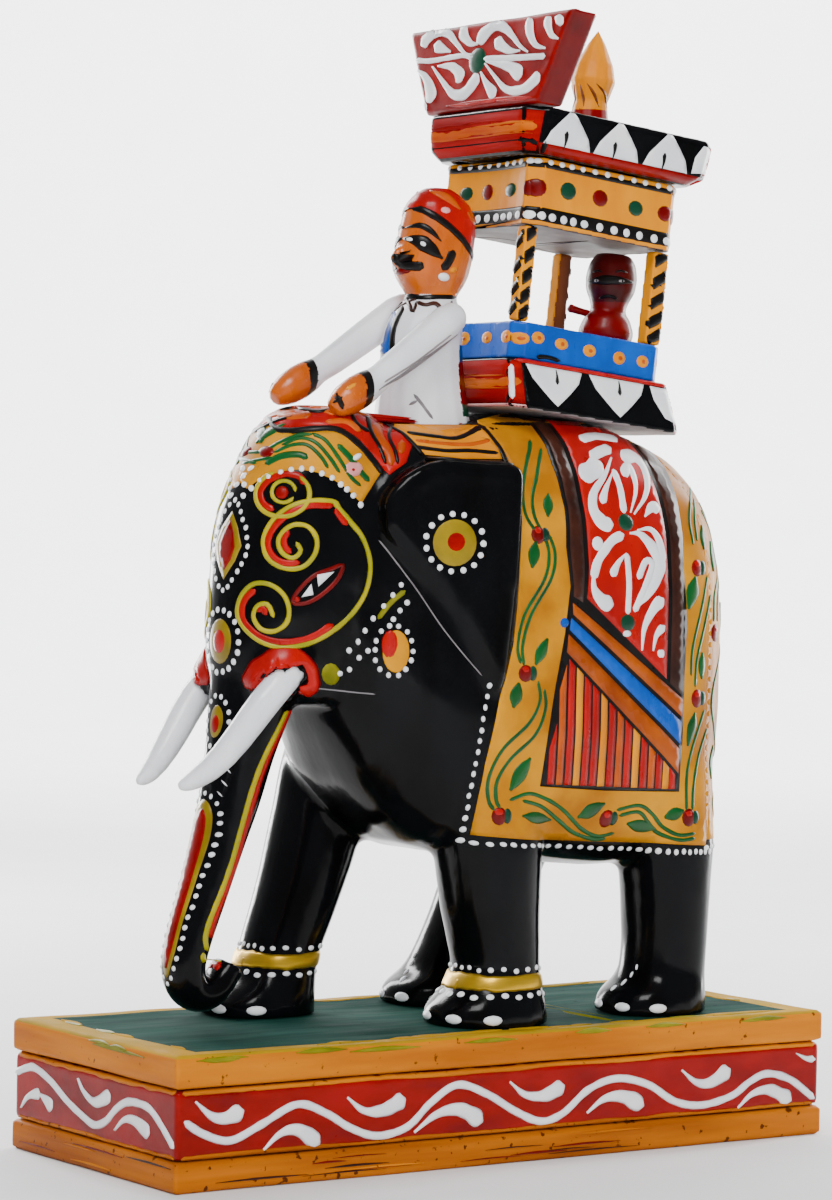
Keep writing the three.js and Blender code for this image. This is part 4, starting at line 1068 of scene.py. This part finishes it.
VISOR_STROKES = [
    ([(-5.6, 79.4), (-9, 79.9), (-13, 82.5), (-18, 86), (-23, 87.2), (-27, 86), (-29.8, 83.8)], 3.3, "comma"),
    ([(-16, 81), (-20.5, 82.3), (-23.6, 83.4)], 3.4, "comma"),
    ([(-31.5, 80), (-25, 79.3), (-15, 79.5), (-9, 79.4), (-6, 78.4)], 1.1, "line"),
    ([(19, 78), (15, 80), (11, 83), (7, 85.5), (3, 86.4), (-1, 84.6), (-4, 82.4)], 3.6, "comma"),
    ([(-3.6, 82), (-7, 82.4), (-10, 84.4), (-12.2, 87)], 3.6, "comma"),
    ([(15.5, 78.6), (11, 79), (7, 80.6), (4, 82.4)], 3.2, "comma"),
    ([(0, 77.8), (8, 77.3), (16, 76.8), (26.6, 76.3)], 1.3, "line"),
    ([(1, 77), (6, 76), (11, 75), (17.4, 72)], 3.6, "comma"),
    ([(0.5, 76.5), (5, 73), (10, 69.4), (15, 68.2), (20, 68.8), (25.2, 71.7)], 3.0, "comma"),
    ([(-23.5, 77.6), (-18, 73), (-13, 69.6), (-8, 69.2), (-4.4, 71.6), (-2, 73.8)], 3.6, "comma"),
    ([(-1, 74.4), (2, 71), (6.4, 67.4)], 3.4, "comma"),
    ([(-21, 77.6), (-15, 77), (-11.4, 75), (-9.6, 72.6)], 3.6, "comma"),
    ([(-30.6, 77.2), (-26.6, 75), (-23.8, 71.4), (-22.6, 68)], 4.6, "comma"),
    ([(26.4, 78.3), (22, 79.6), (19, 83), (17.6, 86.8)], 3.3, "comma"),
    ([(31.6, 80.3), (28, 82), (25.6, 86.4)], 3.2, "comma"),
    ([(29.6, 86), (33, 84.2)], 2.0, "line"),
    ([(-24.6, 66.2), (-26.6, 68.2)], 1.4, "line"),
]


def visor_face(look):
    """White scrolls round one green leaf."""
    board = Sheet(visor, on_howdah(look(NEAR)), "visor")
    for line, width, form in VISOR_STROKES:
        stroke(board, "white", line, width * 1.12, form, 1, body=0.2)
    dot(board, "dark_green", -3.2, 77.6, 3.9, 3.6, layer=3, body=0.12, sides=16)
    rough_bands(board, 65.4, 87, 24, (("red", 66.2, 1.0, 6),))


visor_face(ahead)
visor_face(behind)

# ---------------------------------------------------------------- the plinth

VINE = [
    (-97.5, 17.4), (-92, 14), (-84.5, 11.9), (-76, 15), (-65.5, 19.3), (-57, 16.5), (-50, 12.5), (-42, 9.9), (-33, 11.5),
    (-26, 17), (-18, 20.9), (-9, 18), (0, 13), (8, 9.9), (15, 11.5), (23, 17), (32, 19.2), (42, 17), (51, 12), (60, 10.4),
    (70, 12.2), (76, 15.5), (82, 17.2), (90, 15), (98, 9.6),
]
VINE_LEAVES = [
    ([(-94.5, 22), (-90, 18.3), (-86, 17.4), (-81, 19)], 4.2), ([(-51, 20), (-46, 16.4), (-40, 16.2), (-34, 18.6)], 4.4),
    ([(-2, 20.6), (3, 17), (9, 16.4), (15, 18.6)], 4.2), ([(53, 20), (58, 16.5), (63, 16.2), (69, 19.3)], 4.2),
    ([(91.5, 22), (95, 20.4), (98, 20)], 2.0), ([(-75, 9), (-70, 12.6), (-65, 13), (-59, 9.3)], 4.4),
    ([(-31, 10), (-24, 14), (-17, 14.6), (-10.4, 11.2)], 4.6), ([(22.5, 11), (28, 14.2), (34, 14.4), (40.6, 11.6)], 4.6),
    ([(72, 8.9), (77, 12.2), (83, 12.8), (90, 9.6)], 4.2),
]
END_VINE = [
    (-39, 19.3), (-34, 21), (-29.4, 21.6), (-21, 19.2), (-13, 15.5), (-5, 12.7), (0.6, 11.4), (6, 13), (11, 16.7),
    (16.2, 19.1), (22.5, 19.5), (27.5, 18.6), (33, 15.2), (38.4, 11),
]
END_LEAVES = [
    ([(-7.6, 21.8), (-4.6, 18.8), (0.8, 17), (8.2, 19.8)], 3.8), ([(10.8, 11.6), (15, 14.6), (20, 15), (27, 12.8)], 4.0),
    ([(-36, 10.8), (-33, 13.8), (-29.4, 15), (-26.6, 15.4)], 3.0), ([(-26.4, 15.4), (-23, 14), (-20.2, 12.6)], 4.6),
]
for hand in (NEAR, FAR):
    for look, vine, leaves, half in ((flank(hand), VINE, VINE_LEAVES, 98), ((ahead, behind)[hand == FAR](NEAR), END_VINE, END_LEAVES, 38)):
        block = Sheet(plinth_block, look, "plinth")
        stroke(block, "white", vine, 1.7, layer=1, body=0.3, step=1.0)
        for line, width in leaves:
            stroke(block, "white", line, width * 0.95, "comma", 1, body=0.3)
        span = [-half + 2 * half * i / 20 for i in range(21)]
        stroke(block, "ochre", [(u, 24.1 + rng.uniform(-0.3, 0.2)) for u in span], 1.1, layer=1, body=0.2)
        stroke(block, "low_ochre", [(u, 8.3 + rng.uniform(-0.2, 0.3)) for u in span], 1.0, layer=1, body=0.2)
        lip = Sheet(plinth_top, look, "plinth")
        for _ in range(half // 9):
            u = rng.uniform(-half, half - 14)
            long = rng.uniform(7, 24)
            v = rng.uniform(31.0, 32.0)
            stroke(lip, "olive", [(u, v), (u + long / 2, v + 0.2), (min(u + long, half), v)], rng.uniform(0.6, 1.5), "leaf", 1, body=0.08)
        foot = Sheet(plinth_base, look, "plinth")
        for _ in range(half // 7):
            u = rng.uniform(-half, half - 16)
            long = rng.uniform(10, 30)
            v = rng.uniform(1.4, 6.2)
            tone = ("brown", "ochre", "dark_red")[rng.randrange(3)]
            stroke(foot, tone, [(u, v), (u + long / 2, v + 0.15), (min(u + long, half), v)], rng.uniform(0.25, 0.7), "leaf", 1, body=0.05)
tint(
    plinth_top,
    [
        ("teal", lambda x, y, z, nx, ny, nz: (nz > 0.8) & (abs(x) < 35) & (abs(y) < 92)),
        ("edge_gold", lambda x, y, z, nx, ny, nz: (nz > 0.5)),
    ],
)
deck = Sheet(plinth_top, above(NEAR), "plinth")
for _ in range(46):
    along_side = rng.random() < 0.72
    edge_sign = rng.choice((-1, 1))
    if along_side:
        u, long = rng.uniform(-92, 76), rng.uniform(6, 18)
        v = edge_sign * rng.uniform(34.6, 36.2)
        line = [(u, v), (u + long / 2, v - edge_sign * 0.5), (u + long, v)]
    else:
        u, v, long = edge_sign * rng.uniform(91.4, 93.6), rng.uniform(-34, 24), rng.uniform(5, 12)
        line = [(u, v), (u - edge_sign * 0.5, v + long / 2), (u, v + long)]
    stroke(deck, ("edge_gold", "olive")[rng.random() < 0.3], line, rng.uniform(1.2, 2.6), "leaf", 1, body=0.06)

# ---------------------------------------------------------------- the figures

CAP_SLOPE = 0.72
tint(
    mahout,
    [
        ("red", lambda x, y, z, nx, ny, nz: (z > 219) & (z > 241 - CAP_SLOPE * (y + 10.5))),
        ("skin", lambda x, y, z, nx, ny, nz: z > 219),
        ("navy", lambda x, y, z, nx, ny, nz: (y > 0.4) & (z > 202) & (z < 206.5)),
        ("dark_red", lambda x, y, z, nx, ny, nz: (y > 0) & (z > 198) & (z < 202.01)),
        ("post_brown", lambda x, y, z, nx, ny, nz: (y > 0) & (z > 196) & (z < 198.01)),
        ("dark_red", lambda x, y, z, nx, ny, nz: (y > 0) & (z > 191) & (z < 196.01)),
        ("dark_green", lambda x, y, z, nx, ny, nz: (y > 0.4) & (z > 188) & (z < 191.01)),
    ],
)


def mahout_half(side):
    """The painted face, cap and shirt on one side."""
    face = Sheet(mahout, slant(side), "mahout")
    profile = Sheet(mahout, flank(side), "mahout")
    stroke(profile, "line_black", [(-10.6, 241.4), (-6, 238), (0, 233.6), (3.4, 231), (6, 229.4), (8, 228.2)], 1.7, layer=1)
    stroke(face, "line_black", [(-8.8, 236), (-5, 236.5), (-2, 235.1), (0.6, 232.5)], 1.5, "leaf", 1)
    stroke(face, "line_black", [(-9.2, 233.2), (-6, 232.7), (-3, 231.3), (1, 228.1)], 3.3, "leaf", 1, body=0.15)
    dot(face, "white", -7.4, 232.9, 1.15, 0.6, layer=4, body=0.2, turn=-8)
    dot(face, "white", -3.9, 231.7, 1.0, 0.65, layer=4, body=0.2, turn=-30)
    stroke(face, "line_black", [(-12, 229), (-10.6, 227.4), (-8.8, 226.3), (-6.8, 226.1), (-5, 226), (-4, 227)], 2.2, "line", 1)
    dot(face, "dark_red", -10, 224.7, 1.9, 0.8, layer=1)
    stroke(face, "line_black", [(3.6, 230.4), (2.6, 227.6), (1, 225.2)], 1.8, "line", 1)
    dot(face, "white", 1.3, 223.5, 1.4, 1.15, layer=3, body=0.4)
    # Painted highlight: a small yellow dot beside the earring, where the light catches.
    dot(face, "yellow", 3.6, 225.4, 1.1, 0.7, turn=40, layer=1)
    for line, width in (([(-9.4, 218.4), (-7.6, 216.6), (-6.3, 214.4), (-5.6, 216.8)], 1.0), ([(-5.6, 217), (-3, 216.2), (-0.4, 216.6), (2.6, 213.6), (3.2, 217.4)], 1.0)):
        stroke(face, "brown", line, width, layer=1)
    stroke(face, "line_black", [(-9, 218.8), (-5, 218.2), (0, 218.4), (4, 218.6)], 1.1, layer=1)
    # Painted highlight: the two orange strokes on the red cap stand for the light it catches.
    stroke(face, "orange", [(-3, 245.6), (1.6, 244), (5, 241)], 1.8, "leaf", 1)
    stroke(profile, "orange", [(2.6, 240.4), (5.4, 238.8), (7.4, 238.4)], 2.4, "leaf", 1)
    dot(profile, "pink", -4.4, 240.6, 1.3, 0.9, layer=1)
    stroke(profile, "grey", [(-13.6, 193.2), (-11.6, 190), (-9.6, 187)], 0.7, layer=1, body=0.05)
    stroke(profile, "grey", [(-14.6, 190.4), (-13, 191.6)], 0.6, layer=1, body=0.05)
    # Painted shade: this broad grey stroke stands for the shade under the arm, partly also a grey line painted on the
    # shirt.
    stroke(profile, "grey", [(-16, 197), (-12, 204), (-5, 208.4), (-1, 209.6)], 1.2, "leaf", 0, body=0.04)


mahout_half(NEAR)
mahout_half(FAR)
chest = Sheet(mahout, slant(NEAR), "mahout")
stroke(chest, "blue", [(-13.9, 203.6), (-13.4, 209), (-11.6, 214.6)], 3.2, layer=1)
stroke(chest, "line_black", [(-11.4, 204), (-11.2, 210), (-9.2, 216)], 1.5, layer=2)
for arm, side in ((sleeve_near, NEAR), (sleeve_far, FAR)):
    tint(
        arm,
        [
            ("skin", lambda x, y, z, nx, ny, nz: y < -34.2),
            ("line_black", lambda x, y, z, nx, ny, nz: y < -31.6),
        ],
    )
    sleeve = Sheet(arm, flank(side), "mahout")
    fall = 0 if side == NEAR else 3
    # Painted shade: the grey stroke along the underside of the sleeve stands for its shade, partly also a painted grey
    # line.
    stroke(sleeve, "grey", [(-30, 193.6 + fall), (-22, 197.6 + fall), (-12, 203.6 + fall), (-4, 208.6 + fall)], 1.4, "leaf", 0, body=0.04)
    stroke(sleeve, "dusk", [(-28, 195.6 + fall), (-18, 201.2 + fall), (-7, 208.4 + fall)], 0.5, "line", 1, body=0.04)
    stroke(sleeve, "line_black", [(-41.8, 193 + fall), (-41.2, 190.6 + fall), (-40.4, 188.6 + fall)], 1.0, layer=1)
    stroke(sleeve, "line_black", [(-42.2, 190 + fall), (-40.6, 191.6 + fall)], 0.7, layer=1)
    stroke(sleeve, "yellow", [(-39.4, 193.4 + fall), (-36.8, 195 + fall)], 0.7, layer=1)

guest_low, guest_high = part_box("passenger_figure")
guest_x, guest_y = ((a + b) / 2 / MM for a, b in zip(guest_low[:2], guest_high[:2]))
guest_top = guest_high.z / MM
guest = Sheet(passenger, round_about(guest_x, guest_y, 6, 12), "passenger")
# Painted shade: the black band across the face and the grey eye whites stand for the shade the face sits in.
stroke(guest, "line_black", [(-1.4, guest_top - 7.8), (5.5, guest_top - 7.4), (12.4, guest_top - 7.8)], 2.2, "leaf")
for arc in (2.2, 8.8):
    dot(guest, "dusk", arc, guest_top - 7.6, 1.1, 0.55, body=0.1, layer=3)
    dot(guest, "line_black", arc + 0.2, guest_top - 7.6, 0.45, 0.45, layer=4, body=0.15)
    stroke(guest, "line_black", [(arc - 1.6, guest_top - 5.4), (arc, guest_top - 4.9), (arc + 1.6, guest_top - 5.4)], 0.5)
# Painted shade: the top of the figure is darker maroon than the rest, for the shade that falls on it.
tint(passenger, [("maroon", lambda x, y, z, nx, ny, nz: z > guest_top - 13)])
stroke(guest, "line_black", [(2.6, guest_top - 12.2), (5.5, guest_top - 11.6), (8.4, guest_top - 12.2)], 0.8)

tint(finial, [("deep_red", lambda x, y, z, nx, ny, nz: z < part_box("roof_finial")[0].z / MM + 12.4)])
finial_low, finial_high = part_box("roof_finial")
bud = Sheet(finial, round_about(0, (finial_low.y + finial_high.y) / 2 / MM, 4, 12), "howdah")
for arc in (-9, -5, -1.6, 2, 5.4, 9):
    base_z = finial_low.z / MM
    stroke(bud, "post_brown", [(arc, base_z + 13), (arc * 0.8, base_z + 16), (arc * 0.5, base_z + 19)], 0.7, "leaf", 0, body=0.06)

for piece, sign in ((posts["front", "near"], 1), (posts["rear", "near"], 1), (posts["front", "far"], -1), (posts["rear", "far"], -1)):
    tint(piece, [("post_brown", lambda x, y, z, nx, ny, nz, s=sign: nx * s < -0.5)])
tint(floor_board, [("dusk", lambda x, y, z, nx, ny, nz: nz < -0.8), ("line_black", lambda x, y, z, nx, ny, nz: nz > 0.8)])
tint(frieze, [("ceiling", lambda x, y, z, nx, ny, nz: nz < -0.8)])
# Painted shade: the side edges of the visor are darker red than its face, for the shade on the faces turned away.
tint(visor, [("dark_red", lambda x, y, z, nx, ny, nz: abs(nx) > 0.6)])

# ---------------------------------------------------------------- the paint, joined by region and colour

for (region, colour), (points, faces) in LAID.items():
    bm = bmesh.new()
    verts = [bm.verts.new(p * MM) for p in points]
    for face in faces:
        bm.faces.new([verts[i] for i in face])
    bmesh.ops.recalc_face_normals(bm, faces=bm.faces)
    mesh = bpy.data.meshes.new(f"{region}_{colour}")
    bm.to_mesh(mesh)
    bm.free()
    mesh.shade_smooth()
    mesh.materials.append(PAINT[colour])
    coat = bpy.data.objects.new(f"{region}_{colour}", mesh)
    bpy.context.scene.collection.objects.link(coat)
    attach(coat, "root")

# ---------------------------------------------------------------- studio


def soft_box(name, place, target, width, height, power, colour=(1, 1, 1)):
    """A soft rectangular lamp that faces the target."""
    data = bpy.data.lights.new(name, "AREA")
    data.shape = "RECTANGLE"
    data.size = width * MM
    data.size_y = height * MM
    data.energy = power
    data.color = colour
    lamp = bpy.data.objects.new(name, data)
    lamp.location = Vector(place) * MM
    lamp.rotation_euler = (Vector(target) - Vector(place)).to_track_quat("-Z", "Y").to_euler()
    bpy.context.scene.collection.objects.link(lamp)
    return lamp


def studio_floor():
    """A pale floor that curves up into the backdrop behind the object."""
    reach, rise, bend = 14000, 4200, 900
    profile = [(-reach, 0.0), (0, 0.0), (1500, 0.0)]
    for i in range(1, 17):
        a = math.radians(90 * i / 16)
        profile.append((1500 + bend * math.sin(a), bend * (1 - math.cos(a))))
    profile.append((1500 + bend, rise))
    away = Vector((-math.sin(math.radians(55.34)), math.cos(math.radians(55.34)), 0))
    along = Vector((away.y, -away.x, 0))
    bm = bmesh.new()
    rows = []
    for distance, height in profile:
        middle = away * distance + Vector((0, 0, height))
        rows.append([bm.verts.new((middle + along * s * reach) * MM) for s in (-1, 1)])
    for low, high in zip(rows, rows[1:]):
        bm.faces.new((low[0], low[1], high[1], high[0]))
    mesh = bpy.data.meshes.new("studio_floor")
    bm.to_mesh(mesh)
    bm.free()
    mesh.shade_smooth()
    mesh.materials.append(enamel("studio_paper", (0.80, 0.80, 0.80), (0.78, 0.78, 0.78), 0.75, scale=60, gloss=0.1))
    paper = bpy.data.objects.new("studio_floor", mesh)
    bpy.context.scene.collection.objects.link(paper)


studio_floor()
world = bpy.data.worlds.new("studio")
bpy.context.scene.world = world
world.use_nodes = True
world.node_tree.nodes["Background"].inputs["Color"].default_value = (0.95, 0.97, 1.0, 1)
world.node_tree.nodes["Background"].inputs["Strength"].default_value = 0.24
CENTRE = (0, 0, 150)
soft_box("key_above", (520, -560, 1100), CENTRE, 420, 420, 10)
soft_box("strip_left", (-760, -40, 330), CENTRE, 150, 900, 11)
soft_box("strip_right", (-60, 760, 330), CENTRE, 130, 800, 10)
fill = soft_box("front_fill", (1300, -620, 420), CENTRE, 900, 900, 19)
fill.visible_glossy = False
soft_box("backdrop_wash", (-1100, 800, 1600), (-2200, 1500, 300), 2200, 1200, 170)

camera_data = bpy.data.cameras.new("photo_camera")
camera_data.sensor_width = 36
camera_data.lens = 119.3
camera_data.clip_start = 0.05
camera_data.clip_end = 40
camera = bpy.data.objects.new("photo_camera", camera_data)
azimuth, elevation, roll = (math.radians(a) for a in (55.34, 1.30, 1.10))
back = Vector((math.sin(azimuth) * math.cos(elevation), -math.cos(azimuth) * math.cos(elevation), math.sin(elevation)))
level = Vector((0, 0, 1)).cross(back).normalized()
upright = back.cross(level)
right = level * math.cos(roll) + upright * math.sin(roll)
up = upright * math.cos(roll) - level * math.sin(roll)
turn = Matrix((right, up, back)).transposed().to_4x4()
camera.matrix_world = Matrix.Translation(Vector((843.84, -589.56, 163.75)) * MM) @ turn
bpy.context.scene.collection.objects.link(camera)
bpy.context.scene.camera = camera
